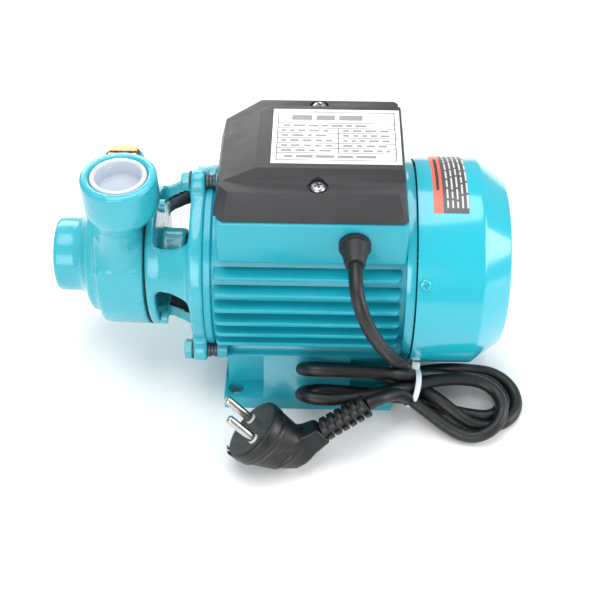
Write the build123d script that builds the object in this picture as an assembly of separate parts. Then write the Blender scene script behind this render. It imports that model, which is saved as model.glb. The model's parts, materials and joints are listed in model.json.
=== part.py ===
from build123d import *
import math
import os

# Small peripheral water pump: frame origin at the centre of the foot's bolt pattern, on the floor.
# +X runs along the shaft from the suction port to the fan cover, +Z is up. Millimetres.

# ---- driving dimensions ----
shaft_z = 63.0            # shaft height above the floor
suction_x = -142.9        # face of the suction port
casing_joint_x = -89.5    # joint between pump casing and lantern bracket
bracket_back_x = -83.5    # back of the bracket's pump flange
motor_flange_x = -63.8    # pump side of the bracket's motor flange
housing_front_x = -56.0   # joint between bracket and motor housing
housing_back_x = 51.0     # joint between housing and rear endshield
cover_front_x = 56.6      # front rim of the fan cover
fan_end_x = 107.1         # end face of the fan cover
casing_r = 39.5           # outer radius of the pump casing
port_bore_r = 15.15       # minor radius of the one-inch pipe thread
port_boss_r = 20.0        # outer radius of the discharge boss
discharge_xy = (-98.0, -21.0)
discharge_z = 138.0       # face of the discharge port
priming_xy = (-103.3, 19.5)
priming_face_z = 118.0
barrel_r = 50.0           # motor barrel outside radius
barrel_in_r = 46.0
fin_tip_r = 57.0
cover_r = 58.3            # fan cover radius
bolt_circle_r = 54.5      # bolts between bracket and housing
bolt_angles = (90, 210, 330)
strut_angles = (30, 150, 270)
box_half_y = 43.5         # terminal box half width
box_top_z = 126.0         # joint between terminal box and its cover
deck_z = 148.5            # top plane of the terminal cover
foot_half = (47.4, 60.0)
foot_holes = (82.0, 105.0)
foot_hole_r = 4.3
flange_t = 9.0            # thickness of the foot's flanges
cord_d = 7.2
impeller_x = -94.5        # middle plane of the impeller
impeller_r = 30.0
impeller_w = 9.0
bearing = {"bore_r": 6.0, "outer_r": 16.0, "width": 10.0, "pitch_r": 11.0, "ball_r": 2.97, "balls": 7}
front_bearing_x = -52.6   # middle plane of the front bearing
rear_bearing_x = 51.6     # middle plane of the rear bearing
priming_pitch = 1.337     # pitch of the priming plug's thread

out_dir = "parts"


# ---- helpers ----
def save(name, shape):
    """Write one sub-part."""
    export_step(shape, os.path.join(out_dir, name + ".step"))


def tube_x(x0, x1, r, hole_r=0.0):
    """Cylinder or ring about the shaft axis, from x0 to x1."""
    length = x1 - x0
    place = Location(((x0 + x1) / 2, 0, shaft_z), (0, 90, 0))
    solid = Cylinder(r, length)
    if hole_r:
        solid -= Cylinder(hole_r, length + 2)
    return place * solid


def rod_x(x0, x1, r, y, z):
    """Cylinder along X at (y, z)."""
    return Location(((x0 + x1) / 2, y, z), (0, 90, 0)) * Cylinder(r, x1 - x0)


def rod_z(z0, z1, r, x, y):
    """Cylinder along Z at (x, y)."""
    return Location((x, y, (z0 + z1) / 2)) * Cylinder(r, z1 - z0)


def block(x0, x1, y0, y1, z0, z1):
    """Box between two corners."""
    return Location(((x0 + x1) / 2, (y0 + y1) / 2, (z0 + z1) / 2)) * Box(x1 - x0, y1 - y0, z1 - z0)


def turned(points, angle=360.0):
    """Solid of revolution about the shaft, from (x, r) points."""
    outline = make_face(Polyline(*[(x, 0, r) for x, r in points], close=True))
    return Location((0, 0, shaft_z)) * revolve(outline, Axis.X, angle)


def around(shape, degrees):
    """Shape turned about the shaft axis; 0 faces -Y and 90 faces +Z."""
    return shape.rotate(Axis((0, 0, shaft_z), (1, 0, 0)), -degrees)


def on_circle(radius, degrees):
    """(y, z) of a point on a circle about the shaft; 0 faces -Y and 90 faces +Z."""
    angle = math.radians(degrees)
    return -radius * math.cos(angle), shaft_z + radius * math.sin(angle)


def hexagon_x(x0, x1, across, y, z):
    """Hexagonal prism along X."""
    face = RegularPolygon(across / 2, 6, major_radius=False)
    return Location((x0, y, z), (0, 90, 0)) * extrude(face, x1 - x0)


def plate_z(points, z0, z1):
    """Prism with a plan outline of (x, y) points."""
    return extrude(make_face(Polyline(*[(x, y, z0) for x, y in points], close=True)), z1 - z0, dir=(0, 0, 1))


def prism_x(points, x0, x1):
    """Prism with a (y, z) outline, from x0 to x1."""
    return extrude(make_face(Polyline(*[(x0, y, z) for y, z in points], close=True)), x1 - x0, dir=(1, 0, 0))


# ---- pump end ----
def channel(x0, x1, r0, r1, angle=300.0, start=0.0):
    """Ring-shaped water channel, broken by the stripper block."""
    ring = turned([(x0, r0), (x1, r0), (x1, r1), (x0, r1)], angle)
    return ring.rotate(Axis((0, 0, shaft_z), (1, 0, 0)), start)


channel_x = (impeller_x - 7.6, impeller_x + 7.6)
channel_r = (23.0, 34.0)


seal_seat_x = (-86.4, -82.6)
neck_x = -102.1           # the discharge boss narrows to a neck that clears the joint
neck_r = 12.3


def pump_casing():
    body = turned([
        (suction_x, 0), (suction_x, 20.2), (suction_x + 0.8, 21.0), (-130.5, 21.0),
        (-126.6, 22.8), (-124.0, 26.8), (-122.6, 31.2), (-121.6, 32.0), (-117.2, 32.0),
        (-116.2, 37.0), (-114.8, 38.2), (casing_joint_x, casing_r), (casing_joint_x, 0)])
    x, y = discharge_xy
    boss = rod_z(116, discharge_z - 2, port_boss_r, x, y)
    boss += Location((x, y, discharge_z - 1)) * Cone(port_boss_r, port_boss_r - 1.4, 2)
    boss += loft([Plane((neck_x, y, 102.0)) * Circle(neck_r), Plane((x, y, 117.0)) * Circle(port_boss_r)])
    boss += rod_z(shaft_z + 20, 103, neck_r, neck_x, y)
    px, py = priming_xy
    boss += rod_z(shaft_z + 20, priming_face_z, 11.7, px, py)
    body += boss
    body -= tube_x(suction_x - 1, -124, port_bore_r)
    body -= tube_x(-124.5, -119, 13.0)
    body -= tube_x(-119.5, -109.5, 24.0)
    body -= tube_x(impeller_x - impeller_w / 2 - 0.3, casing_joint_x + 1, impeller_r + 0.3)
    body -= channel(channel_x[0], casing_joint_x + 1, *channel_r, start=-60)
    body -= rod_x(-110, channel_x[0] + 1, 4.6, 14, shaft_z - 24.5)
    body -= rod_z(119, discharge_z + 1, port_bore_r, x, y)
    body -= rod_z(105, 120, 9.0, neck_x + 1.0, y)
    body -= rod_z(shaft_z + 22, 106, 6.0, neck_x + 2.0, y)
    body -= rod_z(104, priming_face_z + 1, 6.6, px, py)
    body -= rod_z(shaft_z + 22, 105, 4.0, px + 2.2, py)
    return body


def casing_gasket():
    ring = tube_x(casing_joint_x + 0.05, casing_joint_x + 0.45, casing_r - 0.3, channel_r[1] + 0.2)
    for y, z in casing_screw_places():
        ring -= rod_x(casing_joint_x - 1, casing_joint_x + 1, 1.85, y, z)
    return ring


def casing_screw_places():
    return [on_circle(36.8, angle) for angle in bolt_angles]


def strut(angle):
    """One leg of the lantern, spread over part of a turn and flared towards the motor."""
    spread = 34.0
    leg = turned([(bracket_back_x - 1, 29.5), (bracket_back_x - 1, 38.6), (-79.6, 40.6),
                  (motor_flange_x + 1, 48.6), (motor_flange_x + 1, 41.0)], spread)
    leg = leg.rotate(Axis((0, 0, shaft_z), (1, 0, 0)), -spread / 2)
    # the outline starts at +Z, which is 90 degrees on the clock used here
    return around(leg, angle - 90)


def lantern_bracket():
    """Pump flange, seal hub, three legs and a motor flange with bolt ears and a bearing seat."""
    front_x = casing_joint_x + 0.5
    body = tube_x(front_x, bracket_back_x, casing_r)
    body += tube_x(bracket_back_x - 1, -71.6, 16.0)
    body += Location((-70.8, 0, shaft_z), (0, 90, 0)) * Cone(16.0, 14.6, 2)
    for angle in strut_angles:
        body += strut(angle)
    body += tube_x(motor_flange_x, housing_front_x, 51.5, 36.0)
    for angle in bolt_angles:
        y, z = on_circle(bolt_circle_r, angle)
        body += rod_x(motor_flange_x, housing_front_x, 6.4, y, z)
        tab = block(motor_flange_x, housing_front_x, -6.4, 6.4, shaft_z + 45, shaft_z + bolt_circle_r)
        body += around(tab, angle - 90)
        rib = block(motor_flange_x + 0.5, housing_front_x - 0.5, -5, 5, shaft_z + 18, shaft_z + 38)
        body += around(rib, angle + 60 - 90)
    body += tube_x(motor_flange_x - 2, housing_front_x, 21.5)
    body -= tube_x(front_x - 1, housing_front_x + 5, 6.4)
    body -= tube_x(seal_seat_x[0] - 0.1, -74.0, 12.6)
    body -= tube_x(front_bearing_x - 5.05, housing_front_x + 1, 16.0)
    body -= tube_x(motor_flange_x - 5, -57.0, 11.5)
    body -= channel(front_x - 1, channel_x[1], *channel_r, start=-60)
    for y, z in casing_screw_places():
        body -= rod_x(front_x - 1, bracket_back_x + 1, 1.85, y, z)
    for angle in bolt_angles:
        y, z = on_circle(bolt_circle_r, angle)
        body -= rod_x(motor_flange_x - 1, housing_front_x + 1, 3.2, y, z)
    return body


def bracket_parts():
    """The bracket as four nodes: pump flange, seal hub, legs, and motor end with its boss."""
    body = lantern_bracket()
    core_r, reach = 25.0, 70.0
    hub_end = motor_flange_x - 4.0
    motor_end = body & (tube_x(motor_flange_x, housing_front_x + 1, reach)
                        + tube_x(hub_end, motor_flange_x + 0.5, core_r))
    legs = body & tube_x(bracket_back_x, motor_flange_x, reach, core_r)
    return {"bracket_pump_end": body & tube_x(casing_joint_x - 1, bracket_back_x, reach),
            "bracket_hub": body & tube_x(bracket_back_x, hub_end, core_r),
            "bracket_legs": Compound(children=list(legs.solids())), "bracket_motor_end": motor_end}


def casing_screws():
    """Screws that pull the casing against the bracket's pump flange."""
    solids = []
    for y, z in casing_screw_places():
        head = rod_x(bracket_back_x, bracket_back_x + 4, 3.6, y, z)
        head -= hexagon_x(bracket_back_x + 1.6, bracket_back_x + 5, 3.2, y, z)
        solids.append(head + rod_x(casing_joint_x + 0.6, bracket_back_x + 0.5, 1.8, y, z))
    return Compound(children=solids)


def tie_bolts():
    """Hexagon bolts that hold the bracket to the motor housing."""
    solids = []
    for angle in bolt_angles:
        y, z = on_circle(bolt_circle_r, angle)
        head = around_hexagon(motor_flange_x - 5.2, motor_flange_x - 1.0, 9.6, y, z, angle)
        solids.append(head + rod_x(motor_flange_x - 1.0, -45.6, 2.9, y, z))
    return Compound(children=solids)


def around_hexagon(x0, x1, across, y, z, angle):
    """Hexagon head with a flat towards the shaft."""
    return hexagon_x(x0, x1, across, y, z).rotate(Axis((0, y, z), (1, 0, 0)), -angle)


def tie_bolt_washers():
    """Flat washers under the bolt heads, and the washer stacks between the ears."""
    solids = []
    for angle in bolt_angles:
        y, z = on_circle(bolt_circle_r, angle)
        hole = rod_x(motor_flange_x - 2, -50, 2.95, y, z)
        solids.append(rod_x(motor_flange_x - 1.0, motor_flange_x, 5.6, y, z) - hole)
        for index, radius in enumerate((4.2, 3.7, 4.2)):
            x0 = housing_front_x + 0.1 + index * 1.8
            solids.append(rod_x(x0, x0 + 1.75, radius, y, z) - hole)
    return Compound(children=solids)


def impeller():
    """Disc with radial blades cut into both sides of its rim, and a bored, keyed hub."""
    blades = 36
    half = impeller_w / 2
    body = tube_x(impeller_x - half, impeller_x + half, impeller_r, 5.0)
    slots = []
    for index in range(blades):
        for side in (-1, 1):
            slot = Location((impeller_x + side * (half - 1.25), 0, shaft_z + 27.2)) * Box(3.5, 3.1, 6.6)
            slots.append(around(slot, index * 360.0 / blades))
    body -= slots
    body -= block(impeller_x - 5, impeller_x + 5, -1.5, 1.5, shaft_z, shaft_z + 6.6)
    return body


def impeller_key():
    return block(impeller_x - 4.4, impeller_x + 4.4, -1.45, 1.45, shaft_z + 3.6, shaft_z + 6.4)


def seal_seat():
    """Stationary ceramic ring of the shaft seal."""
    return tube_x(*seal_seat_x, 12.5, 6.8)


def seal_head():
    """Rotating carbon face and its holder."""
    x = seal_seat_x[1] + 0.1
    return tube_x(x, x + 3.5, 9.6, 5.02) + tube_x(x + 3.0, x + 7.6, 11.2, 5.02)


def slinger():
    """Rubber ring that throws water off the shaft ahead of the bearing."""
    return turned([(-69.4, 6.03), (-69.4, 13.0), (-68.2, 13.0), (-66.4, 9.4), (-66.4, 6.03)])


# ---- bearings ----
def bearing_ring(x, outer):
    """Inner or outer ring with its ball groove."""
    half = bearing["width"] / 2
    if outer:
        ring = tube_x(x - half, x + half, bearing["outer_r"], 13.3)
    else:
        ring = tube_x(x - half, x + half, 8.7, bearing["bore_r"])
    groove = Torus(bearing["pitch_r"], bearing["ball_r"] + 0.05)
    return ring - Location((x, 0, shaft_z), (0, 90, 0)) * groove


def bearing_balls(x):
    solids = []
    for index in range(bearing["balls"]):
        y, z = on_circle(bearing["pitch_r"], index * 360.0 / bearing["balls"])
        solids.append(Location((x, y, z)) * Sphere(bearing["ball_r"]))
    return Compound(children=solids)


def bearing_cage(x):
    cage = tube_x(x - 3.6, x + 3.6, 12.1, 9.9)
    pockets = []
    for index in range(bearing["balls"]):
        y, z = on_circle(bearing["pitch_r"], index * 360.0 / bearing["balls"])
        pockets.append(Location((x, y, z)) * Sphere(bearing["ball_r"] + 0.05))
    return cage - pockets


# ---- motor ----
core_x = (-28.0, 22.0)


def fins():
    """Horizontal cooling fins on both flanks, their tips on one circle."""
    solids = []
    first, pitch, count, thickness = 92.9, 8.4, 6, 2.4
    for index in range(count):
        z = first - index * pitch
        reach = math.sqrt(fin_tip_r ** 2 - (z - shaft_z) ** 2)
        root = math.sqrt(barrel_r ** 2 - (z - shaft_z) ** 2) - 2.5
        for side in (-1, 1):
            fin = block(-50.4, 48.6, min(side * root, side * reach), max(side * root, side * reach),
                        z - thickness, z)
            solids.append(fin)
    return solids


def housing_ears():
    """Lugs that take the tie bolts at the front and the endshield screws at the back."""
    solids = []
    for angle in bolt_angles:
        for x0, x1 in ((-50.4, -45.0), (45.0, housing_back_x)):
            y, z = on_circle(bolt_circle_r - 0.5, angle)
            lug = rod_x(x0, x1, 5.0, y, z)
            web = block(x0, x1, -5.0, 5.0, shaft_z + 46.5, shaft_z + bolt_circle_r - 0.5)
            solids += [lug, around(web, angle - 90)]
    return solids


def motor_housing():
    body = tube_x(housing_front_x, housing_back_x, barrel_r)
    body += tube_x(housing_front_x, housing_front_x + 4.0, 51.8)
    body += fins()
    body += housing_ears()
    box = block(-47.6, housing_back_x - 0.4, -box_half_y, box_half_y, 98.5, box_top_z)
    body += box
    pad = block(-40.0, 40.0, -30.0, 30.0, 10.5, 22.0)
    body += pad
    body -= tube_x(housing_front_x - 1, housing_back_x + 1, barrel_in_r)
    pocket = block(-43.6, 45.6, -39.5, 39.5, 115.5, box_top_z + 1)
    body -= pocket
    body -= rod_z(105, 118, 5.0, -36, 20)
    y, z = gland_yz
    body -= Location((gland_x, y + 4, z), (90, 0, 0)) * Cylinder(5.1, 12)
    for angle in bolt_angles:
        y, z = on_circle(bolt_circle_r, angle)
        body -= rod_x(-51, -44, 2.95, y, z)
        body -= rod_x(housing_front_x - 1, -50.4, 4.4, y, z)
    return body


gland_x = 23.3
gland_yz = (-box_half_y, 113.0)


def foot_outline():
    """(y, z) outline of the saddle between the foot's flanges."""
    return [(-46.5, 0.0), (-46.5, 30.0), (-38.0, 37.0), (-30.0, 22.4), (30.0, 22.4),
            (38.0, 37.0), (46.5, 30.0), (46.5, 0.0)]


def foot_base():
    """Bridge-shaped foot: two bolting flanges, a saddle and sloping middle gussets."""
    half_x, half_y = foot_half
    body = prism_x([(-half_y, 0), (-half_y, flange_t), (half_y, flange_t), (half_y, 0)], -half_x, half_x)
    body += prism_x(foot_outline(), -half_x + 2.0, half_x - 2.0)
    for side in (-1, 1):
        gusset = [(side * 44.0, 0.0), (side * half_y, 0.0), (side * half_y, flange_t),
                  (side * 58.6, 10.4), (side * 46.5, 30.0), (side * 44.0, 30.0)]
        body += prism_x(gusset, -25.0, 24.0)
    body -= tube_x(-half_x - 1, half_x + 1, barrel_r + 0.1)
    for angle in (210, 330):
        y, z = on_circle(bolt_circle_r - 0.5, angle)
        body -= rod_x(-half_x - 1, half_x + 1, 5.3, y, z)
    body -= block(-40.1, 40.1, -30.1, 30.1, 10.4, 30.0)
    body -= block(-38.0, 38.0, -41.0, 41.0, -1.0, 6.0)
    for side in (-1, 1):
        slot = prism_x([(side * 46.0, 1.5), (side * 41.5, 1.5), (side * 41.5, 24.0), (side * 46.0, 24.0)],
                       -36.0, 36.0)
        body -= slot
    for x in (-foot_holes[0] / 2, foot_holes[0] / 2):
        for y in (-foot_holes[1] / 2, foot_holes[1] / 2):
            body -= rod_z(-1, flange_t + 1, foot_hole_r, x, y)
    for x, y in foot_screw_places():
        body -= rod_z(5, 11, 2.6, x, y)
    return body


def foot_screw_places():
    return [(x, y) for x in (-30.0, 30.0) for y in (-22.0, 22.0)]


def foot_screws():
    """Screws from below that hold the foot to the housing's pad."""
    solids = []
    for x, y in foot_screw_places():
        head = rod_z(2.4, 6.0, 4.4, x, y)
        head -= rod_z(2.0, 4.4, 2.0, x, y)
        solids.append(head + rod_z(5.9, 10.4, 2.5, x, y))
    return Compound(children=solids)


def stator_core():
    """Laminated ring with its slots open towards the rotor."""
    slots = 24
    body = tube_x(core_x[0], core_x[1], barrel_in_r, 26.6)
    cuts = []
    for index in range(slots):
        cut = block(core_x[0] - 1, core_x[1] + 1, -1.9, 1.9, shaft_z + 25.0, shaft_z + 36.5)
        cuts.append(around(cut, index * 360.0 / slots))
    return body - cuts


def stator_windings():
    """Copper end turns on both faces of the core."""
    rear = [(22.0, 28.5), (22.0, 42.5), (29.0, 43.5), (34.5, 41.0), (34.5, 31.0), (29.0, 28.5)]
    front = [(core_x[0] - (x - core_x[1]), r) for x, r in rear]
    return Compound(children=[turned(front), turned(rear)])


def rotor_core():
    """Squirrel-cage rotor with its end rings."""
    body = tube_x(core_x[0], core_x[1], 26.2, 8.5)
    body += tube_x(core_x[0] - 6, core_x[0], 24.5, 15.0)
    body += tube_x(core_x[1], core_x[1] + 6, 24.5, 15.0)
    return body


def shaft():
    """Stepped shaft from the impeller to the cooling fan."""
    body = turned([(-99.1, 0), (-99.1, 4.5), (-98.6, 5.0), (-73.0, 5.0), (-73.0, 6.0),
                   (-44.0, 6.0), (-44.0, 8.5), (42.0, 8.5), (42.0, 6.0), (62.0, 6.0),
                   (62.0, 5.0), (91.5, 5.0), (92.0, 4.5), (92.0, 0)])
    body -= block(impeller_x - 4.5, impeller_x + 4.5, -1.5, 1.5, shaft_z + 3.5, shaft_z + 7)
    body -= tube_x(88.0, 88.9, 6.0, 4.4)
    return body


def rear_endshield():
    """Rear bearing shield between the housing and the fan cover."""
    body = tube_x(housing_back_x, 56.0, 56.4, 47.0)
    body += tube_x(housing_back_x, 53.2, 50.0, 14.0)
    body += tube_x(45.0, 57.6, 21.0)
    spokes = []
    for index in range(6):
        spoke = block(53.0, 56.0, -1.6, 1.6, shaft_z + 20, shaft_z + 47.5)
        spokes.append(around(spoke, index * 60 + 30))
    body += spokes
    body += tube_x(46.6, housing_back_x, barrel_in_r, 43.0)
    body -= tube_x(44.0, rear_bearing_x + 5.2, 16.0)
    body -= tube_x(44.0, 59.0, 6.6)
    return body


def wave_washer():
    x = rear_bearing_x + bearing["width"] / 2
    return tube_x(x + 0.02, x + 0.18, 15.6, 12.6)


def cooling_fan():
    """Moulded radial fan on the rear end of the shaft."""
    body = tube_x(66.0, 87.8, 9.0, 5.02)
    body += tube_x(66.0, 68.2, 46.0, 5.02)
    blades = 8
    for index in range(blades):
        blade = block(67.8, 84.0, -1.0, 1.0, shaft_z + 8.5, shaft_z + 48.0)
        body += around(blade, index * 360.0 / blades)
    return body


def fan_clip():
    """Snap ring that keeps the fan on the shaft."""
    ring = tube_x(88.05, 88.85, 7.2, 4.45)
    return ring - block(87, 90, -2.0, 2.0, shaft_z - 9, shaft_z - 3)


def fan_cover():
    """Drawn cover with a conical edge and ring slots in its end."""
    wall = 1.4
    cone_x = 91.0
    end_r = 46.8
    outer = [(cover_front_x, cover_r), (cone_x, cover_r), (fan_end_x - 1.2, end_r + 1.6),
             (fan_end_x, end_r - 1.0), (fan_end_x, 0)]
    inner = [(fan_end_x - wall, 0), (fan_end_x - wall, end_r - 2.2), (cone_x - 0.6, cover_r - wall),
             (cover_front_x, cover_r - wall)]
    body = turned(outer + inner)
    slots = []
    for ring_r in (12.0, 20.0, 28.0, 36.0):
        ring = tube_x(fan_end_x - 4, fan_end_x + 2, ring_r + 2.2, ring_r - 2.2)
        for index in range(4):
            rib = block(fan_end_x - 5, fan_end_x + 3, -2.6, 2.6, shaft_z, shaft_z + 50)
            ring -= around(rib, index * 90 + 45)
        slots.append(ring)
    body -= slots
    for angle in (30, 150, 270):
        body -= around(rod_z(shaft_z + 50, shaft_z + 62, 1.8, 60.6, 0), angle - 90)
    return body


def fan_cover_screws():
    """Short screws through the cover's rim into the endshield."""
    solids = []
    for angle in (30, 150, 270):
        head = rod_z(shaft_z + cover_r + 0.02, shaft_z + cover_r + 1.6, 3.2, 60.6, 0)
        head -= block(56, 65, -0.5, 0.5, shaft_z + cover_r + 0.8, shaft_z + cover_r + 3)
        screw = head + rod_z(shaft_z + 54.0, shaft_z + cover_r + 0.1, 1.75, 60.6, 0)
        solids.append(around(screw, angle - 90))
    return Compound(children=solids)


def cover_nuts():
    """Clip nuts inside the fan cover that the rim screws thread into."""
    solids = []
    for angle in (30, 150, 270):
        nut = block(57.6, 63.6, -3.5, 3.5, shaft_z + 54.0, shaft_z + 56.4)
        nut -= rod_z(shaft_z + 53, shaft_z + 58, 1.78, 60.6, 0)
        solids.append(around(nut, angle - 90))
    return Compound(children=solids)


sticker_x = (64.6, 83.0)
sticker_angles = (67.5, 125.0)


# ---- terminal box ----
def cover_plan(inset, left_cut):
    """Plan outline of the terminal cover, with its left corners cut off."""
    x0, x1, y = -49.0 + inset, 50.0 - inset, 43.0 - inset
    return [(x0 + 5, -y), (x1 - 2, -y), (x1, -y + 2), (x1, y - 2), (x1 - 2, y),
            (x0 + left_cut, y), (x0, y - left_cut), (x0, -y + 5)]


def between(low, z0, high, z1):
    """Ruled solid between two outlines with as many corners."""
    faces = []
    for points, z in ((low, z0), (high, z1)):
        faces.append(make_face(Polyline(*[(x, y, z) for x, y in points], close=True)))
    return loft(faces, ruled=True)


ledge_z = 143.0
screw_places = ((4.0, -34.2), (4.0, 34.2))


def terminal_cover():
    """Moulded cover: sloping sides, a low ledge for the screws and a raised deck."""
    wall = 2.2
    deck_low = [(-44.0, -30.5), (48.0, -30.5), (48.0, 30.5), (-31.0, 30.5), (-44.0, 19.0)]
    deck_high = [(-27.0, -26.5), (47.0, -26.5), (47.0, 26.5), (-22.0, 26.5), (-27.0, 21.0)]
    body = between(cover_plan(0, 16), box_top_z + 0.8, cover_plan(3.6, 18), ledge_z)
    body += between(deck_low, ledge_z, deck_high, deck_z)
    body -= between(cover_plan(wall, 16), box_top_z, cover_plan(3.6 + wall, 18), ledge_z - wall)
    body -= plate_z([(-20, -24), (44, -24), (44, 24), (-20, 24)], ledge_z - wall - 1, deck_z - wall)
    for x, y in screw_places:
        body += rod_z(box_top_z + 0.8, ledge_z - 0.5, 4.6, x, y)
        body -= rod_z(ledge_z - 1.6, ledge_z + 2, 5.2, x, y)
        body -= rod_z(box_top_z, ledge_z + 1, 2.1, x, y)
    return body


def terminal_gasket():
    """Seal between the box and its cover."""
    outer = plate_z(cover_plan(0.6, 16), box_top_z, box_top_z + 0.8)
    return outer - plate_z(cover_plan(4.4, 16), box_top_z - 1, box_top_z + 2)


def cover_posts():
    """Threaded posts in the box that the cover's screws reach."""
    solids = []
    for x, y in screw_places:
        post = rod_z(115.5, box_top_z + 0.8, 4.4, x, y)
        solids.append(post - rod_z(118, box_top_z + 2, 2.05, x, y))
    return Compound(children=solids)


def cover_screws():
    """Pan-head screws with a cross recess."""
    solids = []
    for x, y in screw_places:
        head = rod_z(ledge_z - 1.6, ledge_z + 1.0, 4.2, x, y)
        for size in ((4.4, 1.0), (1.0, 4.4)):
            head -= Location((x, y, ledge_z + 0.6)) * Box(size[0], size[1], 1.6)
        solids.append(head + rod_z(119, ledge_z - 1.5, 2.0, x, y))
    return Compound(children=solids)


def nameplate():
    return block(-20.0, 46.0, -23.0, 23.0, deck_z, deck_z + 0.3)


def info_sticker():
    """Two-tone label wrapped over the top of the fan cover, mostly on its near side."""
    x0, x1 = sticker_x
    first, last = sticker_angles
    outline = [(x0, cover_r), (x0, cover_r + 0.25), (x1, cover_r + 0.25), (x1, cover_r)]
    return around(turned(outline, last - first), last - 90)


def capacitor():
    """Run capacitor with its two tabs."""
    body = rod_x(-18.0, 36.0, 12.2, 12.0, 128.2)
    body += block(35.5, 42.0, 8.0, 8.8, 126.0, 131.0)
    body += block(35.5, 42.0, 15.2, 16.0, 126.0, 131.0)
    return body


def terminal_block():
    """Three-pole connection strip."""
    body = block(-22.0, 0.0, -32.0, -16.0, 115.5, 127.5)
    for x in (-18.5, -11.0, -3.5):
        body -= rod_z(121, 129, 2.4, x, -20.0)
        body -= rod_z(121, 129, 2.4, x, -28.0)
    return body


def earth_screw():
    return rod_z(115.5, 118.5, 4.0, 34.0, -20.0) + rod_z(118.0, 121.0, 2.5, 34.0, -20.0)


def discharge_cap():
    """Plastic shipping plug in the discharge port, with a finger cup in its top."""
    x, y = discharge_xy
    body = rod_z(discharge_z - 13, discharge_z - 0.6, port_bore_r - 0.05, x, y)
    return body - rod_z(discharge_z - 11.4, discharge_z, 12.2, x, y)


def priming_plug():
    """Slotted brass plug that closes the priming hole."""
    x, y = priming_xy
    body = rod_z(priming_face_z + 1.0, priming_face_z + 3.4, 8.0, x, y)
    body += rod_z(priming_face_z - 9, priming_face_z + 1.2, 6.53, x, y)
    return body - block(x - 9, x + 9, y - 0.8, y + 0.8, priming_face_z + 2.0, priming_face_z + 5)


def priming_washer():
    x, y = priming_xy
    return rod_z(priming_face_z, priming_face_z + 1.0, 9.6, x, y) - rod_z(
        priming_face_z - 1, priming_face_z + 2, 6.58, x, y)


# ---- mains cord ----
gland_tip = Vector(gland_x, -57.5, 111.5)      # where the lead leaves its boot
cord_lead_points = [
    gland_tip, Vector(23.4, -68.5, 110.8), Vector(25.2, -77.0, 104.0), Vector(29.5, -80.5, 93.0),
    Vector(34.9, -79.0, 80.0), Vector(41.0, -74.0, 65.5), Vector(49.4, -67.5, 50.0),
    Vector(55.6, -61.0, 35.0), Vector(58.5, -56.5, 25.0)]
cord_tail_points = [
    Vector(32.3, -83.8, 34.3), Vector(38.5, -80.9, 35.6), Vector(43.5, -77.0, 33.6), Vector(47.6, -72.4, 29.6)]


def fillet_radii(points):
    """The widest arc that each corner's two runs allow."""
    radii = []
    for before, corner, after in zip(points, points[1:], points[2:]):
        turn = math.radians((corner - before).get_angle(after - corner))
        run = min((corner - before).length, (after - corner).length)
        radii.append(0.45 * run / math.tan(turn / 2))
    return radii


def cord_tube(name, points):
    """Round cord along straight runs joined by tangent arcs."""
    radii = fillet_radii(points)
    path = FilletPolyline(*points, radius=radii)
    start = Plane(origin=points[0], z_dir=points[1] - points[0])
    tube = sweep(start * Circle(cord_d / 2), path=path)
    print(name, "radii", [round(r, 1) for r in radii], "length", round(path.length, 1),
          "volume ratio", round(tube.volume / (path.length * math.pi * cord_d ** 2 / 4), 4))
    return tube


def cord_boot():
    """Tapered rubber boot where the lead leaves the box."""
    y, z = gland_yz
    root = Location((gland_x, y, z), (90, 0, 0))
    boot = root * (Location((0, 0, 1.5)) * Cylinder(8.3, 3))
    axis = gland_tip - Vector(gland_x, y, z)
    plane = Plane(origin=(gland_x, y - 2.5, z), z_dir=axis)
    top = Plane(origin=gland_tip, z_dir=axis)
    return boot + loft([plane * Circle(7.6), top * Circle(5.0)])


hank_loop_centre = (94.0, -58.5)
hank_loop_radii = (30.5, 27.5)
fold_across = Vector(0, 0.712, 0.702)          # the folds lean on the foot's gusset
fold_out = Vector(0, -0.702, 0.712)


def fold_section(x, y, z, across, out):
    """Outline of the folds at one station along X, as (x, y, z) corners."""
    centre = Vector(x, y, z)
    corners = []
    for a, b in ((-1, -1), (1, -1), (1, 1), (-1, 1)):
        corners.append(centre + fold_across * (a * across) + fold_out * (b * out))
    return make_face(Polyline(*corners, close=True))


def cord_hank():
    """Outer shape of the tied hank: flat loops on the floor and folds leaning on the foot."""
    x, y = hank_loop_centre
    loops = Location((x, y, 0.1)) * extrude(Ellipse(*hank_loop_radii), 20.0)
    loops &= prism_x([(-90, 0), (-90, 20.0), (-52, 20.0), (-31, 12.6), (-29, 0)], 60.0, 130.0)
    waist = loft([
        Plane(origin=(76, -57.0, 10.6), z_dir=(1, 0, 0)) * Ellipse(10.4, 10.0),
        Plane(origin=(58.5, -53.5, 14.0), z_dir=(1, 0, 0)) * Ellipse(10.4, 10.6),
        Plane(origin=(47.5, -59.5, 22.6), z_dir=(1, 0, 0)) * Ellipse(10.0, 9.6)])
    folds = loft([fold_section(-7.0, -65.3, 30.4, 11.6, 11.6), fold_section(50.0, -60.3, 22.9, 8.6, 8.6)],
                 ruled=True)
    return loops + waist + folds


def cable_tie():
    """Nylon tie round the waist of the hank."""
    plane = Plane(origin=(58.8, -53.6, 14.0), z_dir=(0.96, 0.05, -0.28))
    strap = plane * extrude(Ellipse(12.4, 11.6) - Ellipse(11.2, 10.6), 1.7, both=True)
    head = Location((60.2, -48.6, 25.2), (40, 15, 0)) * Box(5.0, 6.0, 4.4)
    return strap + head


# ---- plug ----
plug_axis = Vector(-0.680, 0.150, 0.717)        # the way the pins point
plug_lead = Vector(0.720, 0.307, 0.622)         # the way the cord leaves
plug_face = Vector(-29.0, -95.0, 25.8)          # centre of the pin face
pin_spacing = 19.0
sleeve_start = (24.0, -28.5)                    # (along the lead, depth behind the face)
sleeve_end = (53.0, -34.0)


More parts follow.
